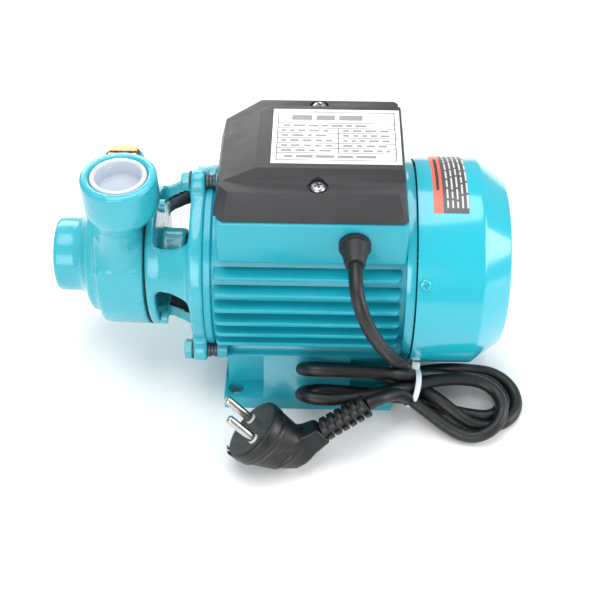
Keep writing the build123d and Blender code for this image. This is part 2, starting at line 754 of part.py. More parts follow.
def plug_plane():
    """Pin face: x along the cord, z along the pins."""
    return Plane(origin=plug_face, x_dir=plug_lead, z_dir=plug_axis)


def plug_body():
    """Right-angle plug body, disc-shaped at the pins and tapering into the cord's side."""
    body = extrude(Circle(18.0), -9.0)
    body += loft([Plane((0, 0, -8.9)) * Circle(18.0), Plane((4.0, 0, -24)) * Ellipse(13.6, 11.6)])
    body += loft([Plane((4.0, 0, -23.9)) * Ellipse(13.6, 11.6), Plane((8.0, 0, -33)) * Ellipse(9.6, 8.4)])
    neck = Plane(origin=(6.0, 0, -24.0), z_dir=(1, 0, 0))
    tip = Plane(origin=(sleeve_start[0] + 1.5, 0, sleeve_start[1]), z_dir=(1, 0, 0))
    body += loft([neck * Rectangle(15, 19), tip * Rectangle(11, 12)])
    for side in (-1, 1):
        body -= Location((0, side * pin_spacing / 2, 0)) * Cylinder(2.42, 2.4)
    return plug_plane() * body


def plug_pins():
    solids = []
    for side in (-1, 1):
        pin = Location((0, side * pin_spacing / 2, 9.0)) * Cylinder(2.4, 20.0)
        pin = fillet(pin.faces().sort_by(Axis.Z)[-1].edges(), 1.8)
        solids.append(plug_plane() * pin)
    return Compound(children=solids)


def plug_sleeve():
    """Ribbed strain relief on the plug."""
    start = Vector(sleeve_start[0] + 1.6, 0, sleeve_start[1])
    run = Vector(sleeve_end[0], 0, sleeve_end[1]) - start
    body = Plane(origin=start, z_dir=run) * extrude(Circle(5.2), run.length)
    ribs = 6
    for index in range(ribs):
        place = start + run * ((index + 0.6) / ribs)
        body += Plane(origin=place, z_dir=run) * extrude(Circle(6.6), 1.0, both=True)
    return plug_plane() * body


def plug_clip():
    """Earth contact on the side of the plug away from the cord."""
    return plug_plane() * (Location((-18.4, 0, -3.4)) * Box(0.6, 8.0, 7.6))


def build():
    os.makedirs(out_dir, exist_ok=True)
    nodes = {
        "pump_casing": pump_casing(), "casing_gasket": casing_gasket(), "casing_screws": casing_screws(),
        "tie_bolts": tie_bolts(),
        "tie_bolt_washers": tie_bolt_washers(), "impeller": impeller(), "impeller_key": impeller_key(),
        "seal_seat": seal_seat(), "seal_head": seal_head(), "slinger": slinger(), "shaft": shaft(),
        "rotor_core": rotor_core(), "stator_core": stator_core(), "stator_windings": stator_windings(),
        "motor_housing": motor_housing(), "foot_base": foot_base(), "foot_screws": foot_screws(),
        "rear_endshield": rear_endshield(), "wave_washer": wave_washer(), "cooling_fan": cooling_fan(),
        "fan_clip": fan_clip(), "fan_cover": fan_cover(), "fan_cover_screws": fan_cover_screws(),
        "cover_nuts": cover_nuts(), "terminal_cover": terminal_cover(),
        "terminal_gasket": terminal_gasket(), "cover_posts": cover_posts(), "cover_screws": cover_screws(),
        "nameplate": nameplate(), "info_sticker": info_sticker(), "capacitor": capacitor(),
        "terminal_block": terminal_block(), "earth_screw": earth_screw(), "cord_boot": cord_boot(),
        "discharge_cap": discharge_cap(), "priming_plug": priming_plug(),
        "priming_washer": priming_washer(), "cord_hank": cord_hank(), "cable_tie": cable_tie(),
        "plug_body": plug_body(), "plug_pins": plug_pins(), "plug_sleeve": plug_sleeve(),
        "plug_clip": plug_clip(),
        "cord_lead": cord_tube("cord_lead", cord_lead_points),
        "cord_tail": cord_tube("cord_tail", cord_tail_points)}
    nodes.update(bracket_parts())
    for place, x in (("front", front_bearing_x), ("rear", rear_bearing_x)):
        nodes[place + "_bearing_outer"] = bearing_ring(x, True)
        nodes[place + "_bearing_inner"] = bearing_ring(x, False)
        nodes[place + "_bearing_balls"] = bearing_balls(x)
        nodes[place + "_bearing_cage"] = bearing_cage(x)
    for name, shape in nodes.items():
        save(name, shape)


build()
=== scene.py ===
import json
import math
import random

import bmesh
import bpy
import numpy as np
from mathutils import Matrix, Vector


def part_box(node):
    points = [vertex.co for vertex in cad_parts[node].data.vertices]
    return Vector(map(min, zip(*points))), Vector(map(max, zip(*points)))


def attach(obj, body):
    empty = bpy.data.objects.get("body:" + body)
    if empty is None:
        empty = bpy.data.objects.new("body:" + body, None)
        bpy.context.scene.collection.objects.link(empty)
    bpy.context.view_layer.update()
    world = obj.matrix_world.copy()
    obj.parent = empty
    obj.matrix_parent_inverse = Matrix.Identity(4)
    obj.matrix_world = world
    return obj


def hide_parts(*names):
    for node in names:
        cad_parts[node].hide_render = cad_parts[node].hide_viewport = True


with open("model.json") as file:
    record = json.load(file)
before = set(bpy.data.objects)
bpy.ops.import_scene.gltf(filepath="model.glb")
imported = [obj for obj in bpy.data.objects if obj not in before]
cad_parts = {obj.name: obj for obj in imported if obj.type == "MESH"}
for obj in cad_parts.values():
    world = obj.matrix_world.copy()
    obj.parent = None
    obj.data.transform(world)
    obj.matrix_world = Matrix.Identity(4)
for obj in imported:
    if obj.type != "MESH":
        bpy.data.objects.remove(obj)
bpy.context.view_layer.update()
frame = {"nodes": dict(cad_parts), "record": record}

# Small peripheral water pump. Sizes in the dictionaries are millimetres unless a name says otherwise.
mm = 0.001
nodes = frame["nodes"]
scene = bpy.context.scene
scene.view_settings.view_transform = "Standard"


def middle(node):
    low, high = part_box(node)
    return (low + high) / 2 / mm


def edges(node):
    low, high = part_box(node)
    return low / mm, high / mm


shaftZ = middle("shaft").z
print("frame loaded,", len(nodes), "nodes")


# camera, lights and floor
view = {"place": (5.1, -443.7, 478.2), "aim": (-5.7, 0.0, 28.16), "lens": 63.7}
lamps = {
    "overhead": {"place": (-60, 60, 900), "aim": (0, 0, 60), "size": (900, 620), "power": 6.2},
    "front": {"place": (-260, -900, 420), "aim": (0, 0, 60), "size": (760, 520), "power": 4.8},
    "right": {"place": (820, -120, 420), "aim": (40, 0, 60), "size": (520, 520), "power": 4.2},
    "back": {"place": (-300, 820, 500), "aim": (0, 0, 60), "size": (700, 400), "power": 4.0},
}
room = {"colour": (0.94, 0.97, 1.0), "strength": 0.55}
ground = {"size": 6000, "colour": (0.93, 0.93, 0.93)}


def aimed(thing, place, target):
    thing.location = Vector(place) * mm
    thing.rotation_euler = (Vector(target) - Vector(place)).to_track_quat("-Z", "Y").to_euler()
    scene.collection.objects.link(thing)


def makeCamera():
    camera = bpy.data.objects.new("camera", bpy.data.cameras.new("camera"))
    camera.data.lens = view["lens"]
    camera.data.clip_start = 0.01
    aimed(camera, view["place"], view["aim"])
    scene.camera = camera


def makeLights():
    for name, lamp in lamps.items():
        light = bpy.data.lights.new(name, "AREA")
        light.shape = "RECTANGLE"
        light.size, light.size_y = lamp["size"][0] * mm, lamp["size"][1] * mm
        light.energy = lamp["power"]
        aimed(bpy.data.objects.new(name, light), lamp["place"], lamp["aim"])
    world = bpy.data.worlds.new("room")
    world.use_nodes = True
    sky = world.node_tree.nodes["Background"]
    sky.inputs["Color"].default_value = (*room["colour"], 1)
    sky.inputs["Strength"].default_value = room["strength"]
    scene.world = world


makeCamera()
makeLights()
print("camera and lights made")


# materials: each look is one dictionary, and every finish has its own grain, gloss and bump
def srgb(red, green, blue):
    def linear(value):
        value /= 255
        return value / 12.92 if value <= 0.04045 else ((value + 0.055) / 1.055) ** 2.4
    return (linear(red), linear(green), linear(blue), 1.0)


looks = {
    # colour, second colour, patch size in mm, roughness range, metal, coat, then fine and broad bump in mm
    # the casting's own teal paint, set lighter and greyer than the housing's as a painted reflection of the
    # bright room on the glossy casting
    "castPaint": dict(colour=(52, 178, 192), shade=(38, 160, 176), patch=16, rough=(0.2, 0.36), coat=0.55,
                      grain=1.5, depth=0.14, ripple=5.0, rippleDepth=0.1),
    "housingPaint": dict(colour=(24, 168, 186), shade=(18, 154, 172), patch=24, rough=(0.3, 0.42), coat=0.3,
                         grain=1.1, depth=0.05, ripple=7.0, rippleDepth=0.035),
    "coverPaint": dict(colour=(26, 178, 196), shade=(22, 170, 190), patch=40, rough=(0.12, 0.2), coat=0.7,
                       grain=0.8, depth=0.012, ripple=9.0, rippleDepth=0.012),
    "blackPlastic": dict(colour=(48, 48, 50), shade=(41, 41, 43), patch=22, rough=(0.4, 0.52),
                         grain=0.55, depth=0.1, ripple=3.0, rippleDepth=0.02),
    "blackRubber": dict(colour=(24, 24, 25), shade=(34, 34, 35), patch=7, rough=(0.42, 0.6),
                        grain=0.7, depth=0.05, ripple=3.0, rippleDepth=0.03),
    "cordSheath": dict(colour=(12, 12, 13), shade=(18, 18, 19), patch=9, rough=(0.36, 0.52),
                       grain=0.5, depth=0.05, ripple=4.0, rippleDepth=0.05),
    "plugPlastic": dict(colour=(13, 13, 14), shade=(19, 19, 20), patch=8, rough=(0.3, 0.46),
                        grain=0.5, depth=0.06, ripple=2.4, rippleDepth=0.03),
    "nickel": dict(colour=(205, 203, 196), shade=(180, 177, 170), patch=3, rough=(0.12, 0.28), metal=1.0,
                   grain=0.5, depth=0.02, ripple=2.0, rippleDepth=0.01),
    "whitePlastic": dict(colour=(196, 204, 214), shade=(184, 193, 204), patch=9, rough=(0.34, 0.46),
                         grain=0.6, depth=0.03, ripple=3.0, rippleDepth=0.02),
    "nylon": dict(colour=(226, 228, 230), shade=(208, 212, 216), patch=4, rough=(0.3, 0.42),
                  grain=0.4, depth=0.04, ripple=2.0, rippleDepth=0.02),
    "brass": dict(colour=(198, 170, 124), shade=(170, 138, 92), patch=3, rough=(0.2, 0.36), metal=1.0,
                  grain=0.4, depth=0.06, ripple=1.5, rippleDepth=0.02),
    "copperWasher": dict(colour=(62, 52, 46), shade=(44, 38, 34), patch=3, rough=(0.3, 0.5), metal=1.0,
                         grain=0.4, depth=0.04, ripple=1.5, rippleDepth=0.02),
    "copperWire": dict(colour=(186, 110, 70), shade=(140, 72, 44), patch=2.5, rough=(0.3, 0.46), metal=1.0,
                       grain=0.8, depth=0.3, ripple=1.8, rippleDepth=0.3),
    "zincSteel": dict(colour=(196, 198, 200), shade=(150, 152, 156), patch=2.6, rough=(0.22, 0.42), metal=1.0,
                      grain=0.4, depth=0.05, ripple=1.6, rippleDepth=0.03),
    "dullZinc": dict(colour=(92, 98, 102), shade=(60, 66, 70), patch=2.4, rough=(0.35, 0.55), metal=0.8,
                     grain=0.4, depth=0.05, ripple=1.6, rippleDepth=0.03),
    "brightSteel": dict(colour=(190, 192, 196), shade=(160, 163, 168), patch=5, rough=(0.18, 0.3), metal=1.0,
                        grain=0.35, depth=0.04, ripple=2.0, rippleDepth=0.01),
    "coreSteel": dict(colour=(120, 120, 124), shade=(92, 92, 96), patch=6, rough=(0.4, 0.6), metal=0.9,
                      grain=0.5, depth=0.2, ripple=2.0, rippleDepth=0.05),
    "labelWhite": dict(colour=(240, 240, 238), shade=(232, 232, 230), patch=14, rough=(0.3, 0.36), coat=0.2,
                       grain=0.6, depth=0.01, ripple=12.0, rippleDepth=0.02),
    "ceramic": dict(colour=(226, 220, 208), shade=(214, 206, 192), patch=4, rough=(0.25, 0.36),
                    grain=0.4, depth=0.02, ripple=2.0, rippleDepth=0.01),
    "carbon": dict(colour=(46, 46, 48), shade=(34, 34, 36), patch=3, rough=(0.35, 0.5),
                   grain=0.4, depth=0.05, ripple=2.0, rippleDepth=0.02),
    "fanPlastic": dict(colour=(58, 60, 62), shade=(48, 50, 52), patch=12, rough=(0.4, 0.55),
                       grain=0.7, depth=0.05, ripple=4.0, rippleDepth=0.03),
    "capacitorCan": dict(colour=(206, 208, 210), shade=(190, 192, 196), patch=10, rough=(0.35, 0.5),
                         grain=0.6, depth=0.03, ripple=4.0, rippleDepth=0.02),
    "creamPlastic": dict(colour=(222, 212, 188), shade=(210, 198, 172), patch=6, rough=(0.35, 0.48),
                         grain=0.5, depth=0.04, ripple=3.0, rippleDepth=0.02),
    "gasketPaper": dict(colour=(44, 46, 44), shade=(34, 36, 34), patch=4, rough=(0.7, 0.85),
                        grain=0.5, depth=0.1, ripple=3.0, rippleDepth=0.05),
    # painted shade: dark teal for the bracket's faces inside its windows, standing in for the shade there
    "windowPaint": dict(colour=(12, 44, 50), shade=(8, 30, 34), patch=8, rough=(0.35, 0.55),
                        grain=1.0, depth=0.12, ripple=4.0, rippleDepth=0.1),
    "printBlack": dict(colour=(36, 36, 38), shade=(46, 46, 48), patch=3, rough=(0.4, 0.5),
                       grain=0.4, depth=0.02, ripple=2.0, rippleDepth=0.01),
    "printGrey": dict(colour=(150, 152, 154), shade=(120, 122, 124), patch=1.2, rough=(0.4, 0.5),
                      grain=0.4, depth=0.02, ripple=2.0, rippleDepth=0.01),
    "labelOrange": dict(colour=(238, 100, 78), shade=(230, 92, 72), patch=8, rough=(0.3, 0.4), coat=0.2,
                        grain=0.5, depth=0.01, ripple=10.0, rippleDepth=0.02),
    "printPale": dict(colour=(205, 205, 200), shade=(196, 196, 192), patch=6, rough=(0.4, 0.5), coat=0.1,
                      grain=0.5, depth=0.01, ripple=4.0, rippleDepth=0.01),
    "labelDark": dict(colour=(72, 72, 74), shade=(64, 64, 66), patch=8, rough=(0.32, 0.42), coat=0.2,
                      grain=0.5, depth=0.01, ripple=10.0, rippleDepth=0.02),
}


def link(tree, source, target):
    tree.links.new(source, target)


def grainTexture(tree, coords, size, detail):
    noise = tree.nodes.new("ShaderNodeTexNoise")
    noise.inputs["Scale"].default_value = 1 / (size * mm)
    noise.inputs["Detail"].default_value = detail
    link(tree, coords, noise.inputs["Vector"])
    return noise.outputs["Fac"]


def bumpLayer(tree, height, depth, before):
    bump = tree.nodes.new("ShaderNodeBump")
    bump.inputs["Strength"].default_value = 1.0
    bump.inputs["Distance"].default_value = depth * mm
    link(tree, height, bump.inputs["Height"])
    if before:
        link(tree, before, bump.inputs["Normal"])
    return bump.outputs["Normal"]


def finishOf(name):
    look = looks[name]
    material = bpy.data.materials.new(name)
    material.use_nodes = True
    tree = material.node_tree
    shader = tree.nodes["Principled BSDF"]
    coords = tree.nodes.new("ShaderNodeTexCoord").outputs["Object"]
    patches = grainTexture(tree, coords, look["patch"], 3.0)
    tint = tree.nodes.new("ShaderNodeMix")
    tint.data_type = "RGBA"
    tint.inputs[6].default_value = srgb(*look["colour"])
    tint.inputs[7].default_value = srgb(*look["shade"])
    link(tree, patches, tint.inputs[0])
    link(tree, tint.outputs[2], shader.inputs["Base Color"])
    gloss = tree.nodes.new("ShaderNodeMapRange")
    gloss.inputs["From Min"].default_value = 0.3
    gloss.inputs["From Max"].default_value = 0.7
    gloss.inputs["To Min"].default_value, gloss.inputs["To Max"].default_value = look["rough"]
    link(tree, grainTexture(tree, coords, look["patch"] / 3, 4.0), gloss.inputs["Value"])
    link(tree, gloss.outputs["Result"], shader.inputs["Roughness"])
    waves = bumpLayer(tree, grainTexture(tree, coords, look["ripple"], 1.0), look["rippleDepth"], None)
    grain = bumpLayer(tree, grainTexture(tree, coords, look["grain"], 2.0), look["depth"], waves)
    link(tree, grain, shader.inputs["Normal"])
    shader.inputs["Metallic"].default_value = look.get("metal", 0.0)
    shader.inputs["Coat Weight"].default_value = look.get("coat", 0.0)
    shader.inputs["Coat Roughness"].default_value = 0.12
    return material


def slotFinish(slotName):
    # the record writes its slots with underscores, so cast_paint takes the finish castPaint
    first, *rest = slotName.split("_")
    return finishes[first + "".join(word.capitalize() for word in rest)]


finishes = {name: finishOf(name) for name in looks}
for part in frame["record"]["subparts"]:
    cadMesh = nodes[part["node"]].data
    cadMesh.materials.clear()
    cadMesh.materials.append(slotFinish(part["material_slot"]))
print("finishes made:", len(finishes))


# helpers for the pieces
def newPiece(name, mesh, finish, smooth=True):
    piece = bpy.data.objects.new(name, mesh)
    scene.collection.objects.link(piece)
    mesh.materials.clear()
    mesh.materials.append(finishes[finish])
    if smooth:
        mesh.shade_smooth()
    return piece


def settle(piece, body, slotName, *replaced):
    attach(piece, body)
    if replaced:
        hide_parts(*replaced)
    return piece


def meshFrom(name, points, faces):
    mesh = bpy.data.meshes.new(name)
    mesh.from_pydata([Vector(p) * mm for p in points], [], faces)
    mesh.validate()
    return mesh


def finished(name, work, outward=False):
    # closes a working mesh, with its faces turned outwards if asked
    if outward:
        bmesh.ops.recalc_face_normals(work, faces=work.faces)
    mesh = bpy.data.meshes.new(name)
    work.to_mesh(mesh)
    work.free()
    return mesh


def joined(name, meshes, outward=False):
    work = bmesh.new()
    for mesh in meshes:
        work.from_mesh(mesh)
        bpy.data.meshes.remove(mesh)
    return finished(name, work, outward)


def crisp(mesh, angle=32.0):
    mesh.shade_smooth()
    mesh.set_sharp_from_angle(angle=math.radians(angle))


def bevelled(piece, width, angle=30.0, segments=2):
    bevel = piece.modifiers.new("edge", "BEVEL")
    bevel.width = width * mm
    bevel.segments = segments
    bevel.limit_method = "ANGLE"
    bevel.angle_limit = math.radians(angle)
    bevel.harden_normals = False
    return applied(piece)


def applied(piece):
    # turns the evaluated object into a plain mesh and drops its modifiers
    graph = bpy.context.evaluated_depsgraph_get()
    mesh = bpy.data.meshes.new_from_object(piece.evaluated_get(graph))
    piece.modifiers.clear()
    piece.data = mesh
    return piece


def softened(node, name, finish, width, angle=30.0, segments=2):
    # a merged copy of a CAD node with its edges rounded
    mesh = nodes[node].data.copy()
    if "custom_normal" in mesh.attributes:
        mesh.attributes.remove(mesh.attributes["custom_normal"])
    work = bmesh.new()
    work.from_mesh(mesh)
    bmesh.ops.remove_doubles(work, verts=work.verts, dist=2e-6)
    bmesh.ops.dissolve_limit(work, angle_limit=math.radians(0.8), verts=work.verts, edges=work.edges)
    work.to_mesh(mesh)
    work.free()
    piece = newPiece(name, mesh, finish)
    bevelled(piece, width, angle, segments)
    crisp(piece.data, 40)
    return piece


def turnedMesh(name, profile, centre, axis="Z", segments=96):
    # closed lathe surface from (along, radius) points
    points, faces = [], []
    count = len(profile)
    for step in range(segments):
        angle = 2 * math.pi * step / segments
        for along, radius in profile:
            a, b = radius * math.cos(angle), radius * math.sin(angle)
            offset = (a, b, along) if axis == "Z" else (along, a, b)
            points.append(Vector(centre) + Vector(offset))
    for step in range(segments):
        for index in range(count - 1):
            here, following = step * count + index, ((step + 1) % segments) * count + index
            faces.append((here, following, following + 1, here + 1))
    mesh = meshFrom(name, points, faces)
    work = bmesh.new()
    work.from_mesh(mesh)
    bmesh.ops.remove_doubles(work, verts=work.verts, dist=1e-6)
    bmesh.ops.holes_fill(work, edges=work.edges)
    bmesh.ops.recalc_face_normals(work, faces=work.faces)
    work.to_mesh(mesh)
    work.free()
    return mesh


# mains lead: one spline from the boot, through the tie, round three loops and two folds, to the plug
lead = {
    "thick": 0.0072,
    "exit": (0.0233, -0.0575, 0.1115),
    "down": [(0.0233, -0.0575, 0.1115), (0.0234, -0.0685, 0.1108), (0.0252, -0.0770, 0.1040),
             (0.0295, -0.0805, 0.0930), (0.0349, -0.0790, 0.0800), (0.0410, -0.0740, 0.0655),
             (0.0470, -0.0670, 0.0510), (0.0505, -0.0570, 0.0395), (0.0540, -0.0510, 0.0285)],
    "tail": [(0.0555, -0.0640, 0.0170), (0.0515, -0.0685, 0.0245), (0.0476, -0.0724, 0.0296),
             (0.0435, -0.0770, 0.0336), (0.0385, -0.0809, 0.0356), (0.0323, -0.0838, 0.0343)],
    "tie": (0.0588, -0.0536, 0.0140),
    "across": (0.0, 0.712, 0.702),      # along the foot's slope
    "out": (0.0, -0.702, 0.712),        # away from the slope
}
# the right-hand loops: centre and radius of the bend in metres, height at the far side, end and near side
loops = {
    "outer": dict(centre=(0.1008, -0.0545), radius=0.0190, heights=(0.0085, 0.0042, 0.0039), span=(100, -100)),
    "inner": dict(centre=(0.1002, -0.0550), radius=0.0114, heights=(0.0105, 0.0052, 0.0039), span=(110, -110)),
    "upper": dict(centre=(0.0940, -0.0660), radius=0.0155, heights=(0.0172, 0.0125, 0.0041), span=(96, -100)),
}
# the left-hand folds: place across the slope at the back and front strand, and the bend's radius
folds = {
    "high": dict(back=0.0073, front=0.0073, end=-0.0034, radius=0.0105),
    "low": dict(back=-0.0050, front=-0.0082, end=-0.0036, radius=0.0105),
}


def inTie(across, out):
    return Vector(lead["tie"]) + Vector(lead["across"]) * across + Vector(lead["out"]) * out


def onSlope(x, across, out):
    # centre line of the two folds, leaning on the foot
    share = (0.050 - x) / 0.057
    centre = Vector((x, -0.0603 - 0.0050 * share, 0.0229 + 0.0075 * share))
    return centre + Vector(lead["across"]) * across + Vector(lead["out"]) * out


def loopPoints(loop, steps=9):
    points = []
    start, stop = loop["span"]
    high, end, near = loop["heights"]
    for step in range(steps):
        share = step / (steps - 1)
        angle = math.radians(start + (stop - start) * share)
        if share < 0.5:
            z = high + (end - high) * 2 * share
        else:
            z = end + (near - end) * (2 * share - 1)
        x = loop["centre"][0] + loop["radius"] * math.cos(angle)
        y = loop["centre"][1] + loop["radius"] * math.sin(angle)
        points.append(Vector((x, y, z)))
    return points


def foldPoints(fold, backStrand, frontStrand, steps=7):
    # out along the back strand, round the end, and back along the front strand
    points = [onSlope(x, across, out) for x, across, out in backStrand]
    radius = fold["radius"]
    for step in range(steps):
        angle = math.radians(-90 + 180 * step / (steps - 1))
        share = step / (steps - 1)
        across = fold["back"] + (fold["front"] - fold["back"]) * share
        x = fold["end"] + radius * (1 - math.cos(angle))
        points.append(onSlope(x, across, 0.0015 + radius * math.sin(angle)))
    return points + [onSlope(x, across, out) for x, across, out in frontStrand]


def leadRoute():
    route = [Vector(p) for p in lead["down"]]
    route += [inTie(0.0070, -0.0035), Vector((0.0700, -0.0410, 0.0140)), Vector((0.0830, -0.0372, 0.0112))]
    route += loopPoints(loops["outer"])
    route += [Vector((0.0890, -0.0715, 0.0062)), Vector((0.0810, -0.0675, 0.0108)),
              Vector((0.0730, -0.0612, 0.0136)), Vector((0.0660, -0.0552, 0.0128)), inTie(0.0, -0.0035)]
    high, low = folds["high"], folds["low"]
    route += foldPoints(high, [(0.050, 0.0028, -0.0052), (0.040, 0.0056, -0.0068), (0.028, 0.0073, -0.0078),
                               (0.016, 0.0073, -0.0086)],
                        [(0.016, 0.0073, 0.0112), (0.028, 0.0073, 0.0098), (0.040, 0.0072, 0.0086),
                         (0.050, 0.0070, 0.0074)])
    route += [inTie(0.0070, 0.0038), Vector((0.0690, -0.0468, 0.0180)), Vector((0.0810, -0.0445, 0.0134))]
    route += loopPoints(loops["inner"])
    route += [Vector((0.0850, -0.0640, 0.0044)), Vector((0.0730, -0.0605, 0.0055)), inTie(-0.0070, -0.0035)]
    route += foldPoints(low, [(0.050, -0.0068, -0.0046), (0.040, -0.0064, -0.0062), (0.028, -0.0056, -0.0074),
                              (0.016, -0.0050, -0.0084)],
                        [(0.016, -0.0082, 0.0112), (0.028, -0.0068, 0.0100), (0.040, -0.0042, 0.0080),
                         (0.050, -0.0016, 0.0056)])
    route += [inTie(0.0, 0.0037), Vector((0.0690, -0.0532, 0.0184)), Vector((0.0810, -0.0512, 0.0186))]
    route += loopPoints(loops["upper"])
    route += [Vector((0.0830, -0.0785, 0.0048)), Vector((0.0730, -0.0722, 0.0075)), inTie(-0.0070, 0.0036)]
    return route + [Vector(p) for p in lead["tail"]]


def makeLead():
    curve = bpy.data.curves.new("mainsLead", "CURVE")
    curve.dimensions = "3D"
    curve.bevel_depth = lead["thick"] / 2
    curve.bevel_resolution = 5
    curve.resolution_u = 8
    curve.use_fill_caps = True
    route = leadRoute()
    spline = curve.splines.new("NURBS")
    spline.points.add(len(route) - 1)
    for point, place in zip(spline.points, route):
        point.co = (*place, 1.0)
    spline.order_u = 3
    spline.use_endpoint_u = True
    piece = bpy.data.objects.new("mainsLead", curve)
    scene.collection.objects.link(piece)
    curve.materials.append(finishes["cordSheath"])
    return piece


def splineLine(piece):
    # the points of the lead's own line, read from the curve with no bevel
    bare = piece.copy()
    bare.data = piece.data.copy()
    bare.data.bevel_depth = 0
    scene.collection.objects.link(bare)
    mesh = bpy.data.meshes.new_from_object(bare.evaluated_get(bpy.context.evaluated_depsgraph_get()))
    points = [v.co.copy() for v in mesh.vertices]
    bpy.data.objects.remove(bare)
    return points


mainsLead = makeLead()
linePoints = splineLine(mainsLead)
leadLength = sum((b - a).length for a, b in zip(linePoints, linePoints[1:]))
print("mains lead made, length", round(leadLength, 4))
settle(mainsLead, "pump_body", "cord_sheath", "cord_lead", "cord_hank", "cord_tail")


# cast parts are drawn as a distance field and skinned, so that every joint is a soft blend
def join(a, b, blend):
    h = np.maximum(blend - np.abs(a - b), 0) / blend
    return np.minimum(a, b) - h * h * blend / 4


def cut(a, b, blend=0.6):
    return -join(-a, b, blend)


def capped(radial, along, edge):
    # radial and along distances to a rod's wall and end, with a rounded edge
    q, h = radial + edge, along + edge
    return np.minimum(np.maximum(q, h), 0) + np.hypot(np.maximum(q, 0), np.maximum(h, 0)) - edge


def rodX(p, x0, x1, radius, y=0.0, z=None, edge=0.8):
    z = shaftZ if z is None else z
    return capped(np.hypot(p[1] - y, p[2] - z) - radius, np.abs(p[0] - (x0 + x1) / 2) - (x1 - x0) / 2, edge)


def rodZ(p, z0, z1, radius, x, y, edge=0.8):
    return capped(np.hypot(p[0] - x, p[1] - y) - radius, np.abs(p[2] - (z0 + z1) / 2) - (z1 - z0) / 2, edge)


def brick(p, low, high, edge=0.8):
    q = [np.abs(p[i] - (low[i] + high[i]) / 2) - (high[i] - low[i]) / 2 + edge for i in range(3)]
    outside = np.sqrt(sum(np.maximum(v, 0) ** 2 for v in q))
    return outside + np.minimum(np.maximum(np.maximum(q[0], q[1]), q[2]), 0) - edge


def softenField(field, passes):
    # a small box blur along each axis rounds every edge and corner a little
    for _ in range(passes):
        for axis in range(3):
            padded = np.pad(field, [(1, 1) if i == axis else (0, 0) for i in range(3)], mode="edge")
            n = field.shape[axis]
            parts = [np.take(padded, range(k, k + n), axis=axis) for k in range(3)]
            field = (parts[0] + 2 * parts[1] + parts[2]) / 4
    return field


def gridOf(low, high, cell):
    ranges = [np.arange(low[i], high[i] + cell, cell) for i in range(3)]
    return np.meshgrid(*ranges, indexing="ij")


def skinned(name, field, low, cell):
    # surface net: one vertex in each cell that the surface crosses, one quad for each crossed grid edge
    inside = field < 0
    shape = np.array(field.shape) - 1
    total = np.zeros(shape, int)
    for i, j, k in np.ndindex(2, 2, 2):
        total += inside[i:i + shape[0], j:j + shape[1], k:k + shape[2]]
    active = (total > 0) & (total < 8)
    place, weight = np.zeros((*shape, 3)), np.zeros(shape)
    for axis in range(3):
        for i, j in np.ndindex(2, 2):
            first = np.insert([i, j], axis, 0)
            second = first + np.eye(3, dtype=int)[axis]
            a, b = (field[s[0]:s[0] + shape[0], s[1]:s[1] + shape[1], s[2]:s[2] + shape[2]]
                    for s in (first, second))
            crossed = (a < 0) != (b < 0)
            share = np.where(crossed, a / np.where(crossed, a - b, 1), 0)
            for d in range(3):
                place[..., d] += np.where(crossed, first[d] + (share if d == axis else 0), 0)
            weight += crossed
    cells = np.argwhere(active)
    index = -np.ones(shape, int)
    index[active] = np.arange(len(cells))
    points = (cells + place[active] / weight[active][:, None]) * cell + np.array(low)
    faces = []
    for axis in range(3):
        b, c = np.eye(3, dtype=int)[(axis + 1) % 3], np.eye(3, dtype=int)[(axis + 2) % 3]
        step = np.eye(3, dtype=int)[axis]
        here = inside[:shape[0], :shape[1], :shape[2]]
        ahead = inside[step[0]:step[0] + shape[0], step[1]:step[1] + shape[1], step[2]:step[2] + shape[2]]
        for changed, turn in ((here & ~ahead, 1), (~here & ahead, -1)):
            spots = np.argwhere(changed)
            corners = [index[tuple((spots - b - c).T)], index[tuple((spots - c).T)],
                       index[tuple(spots.T)], index[tuple((spots - b).T)]]
            faces.append(np.stack(corners[::turn], axis=1))
    faces = np.concatenate(faces)
    mesh = bpy.data.meshes.new(name)
    mesh.from_pydata((points * mm).tolist(), [], faces.tolist())
    mesh.validate()
    return mesh


def onCircle(radius, degrees):
    # (y, z) on a circle about the shaft: 0 faces -Y and 90 faces +Z
    angle = math.radians(degrees)
    return -radius * math.cos(angle), shaftZ + radius * math.sin(angle)


def turnedField(p, profile):
    # distance to a solid of revolution about the shaft, whose radius runs through (x, radius) points
    radius = np.interp(p[0], [x for x, r in profile], [r for x, r in profile])
    slope = np.interp(p[0], [(a[0] + b[0]) / 2 for a, b in zip(profile, profile[1:])],
                      [(b[1] - a[1]) / (b[0] - a[0]) for a, b in zip(profile, profile[1:])])
    radial = (np.hypot(p[1], p[2] - shaftZ) - radius) / np.sqrt(1 + slope ** 2)
    ends = np.maximum(profile[0][0] - p[0], p[0] - profile[-1][0])
    return np.maximum(radial, ends)


# pump casing
casing = {
    "cell": 0.95, "portBore": 15.15, "bossRadius": 20.0, "neckRadius": 12.6, "neckX": -102.1,
    "boss": (-98.0, -21.0), "bossTop": 138.0, "priming": (-103.3, 19.5), "primingTop": 118.0,
    "profile": [(-142.9, 20.6), (-142.0, 21.0), (-131.5, 21.0), (-128.4, 21.9), (-125.6, 24.6), (-123.4, 29.4),
                (-122.0, 31.8), (-117.4, 32.2), (-116.5, 35.4), (-115.2, 38.0), (-113.0, 38.6), (-89.6, 39.4)],
    # suction port, throat, side chamber and impeller pocket: from x, to x, radius, blend
    "hollows": ((-150, -124, 15.15, 1.0), (-126, -119, 13.0, 0.6), (-120, -109.5, 24.0, 0.6),
                (-99.4, -80.0, 30.3, 0.6)),
    "joint": -89.55, "jointTop": 104.0, "portFace": -142.9, "primingRadius": 11.7, "primingBore": 6.6,
    "ridges": ((-111.0, 5.0), (-106.0, 3.4), (-98.0, 4.4)),
}


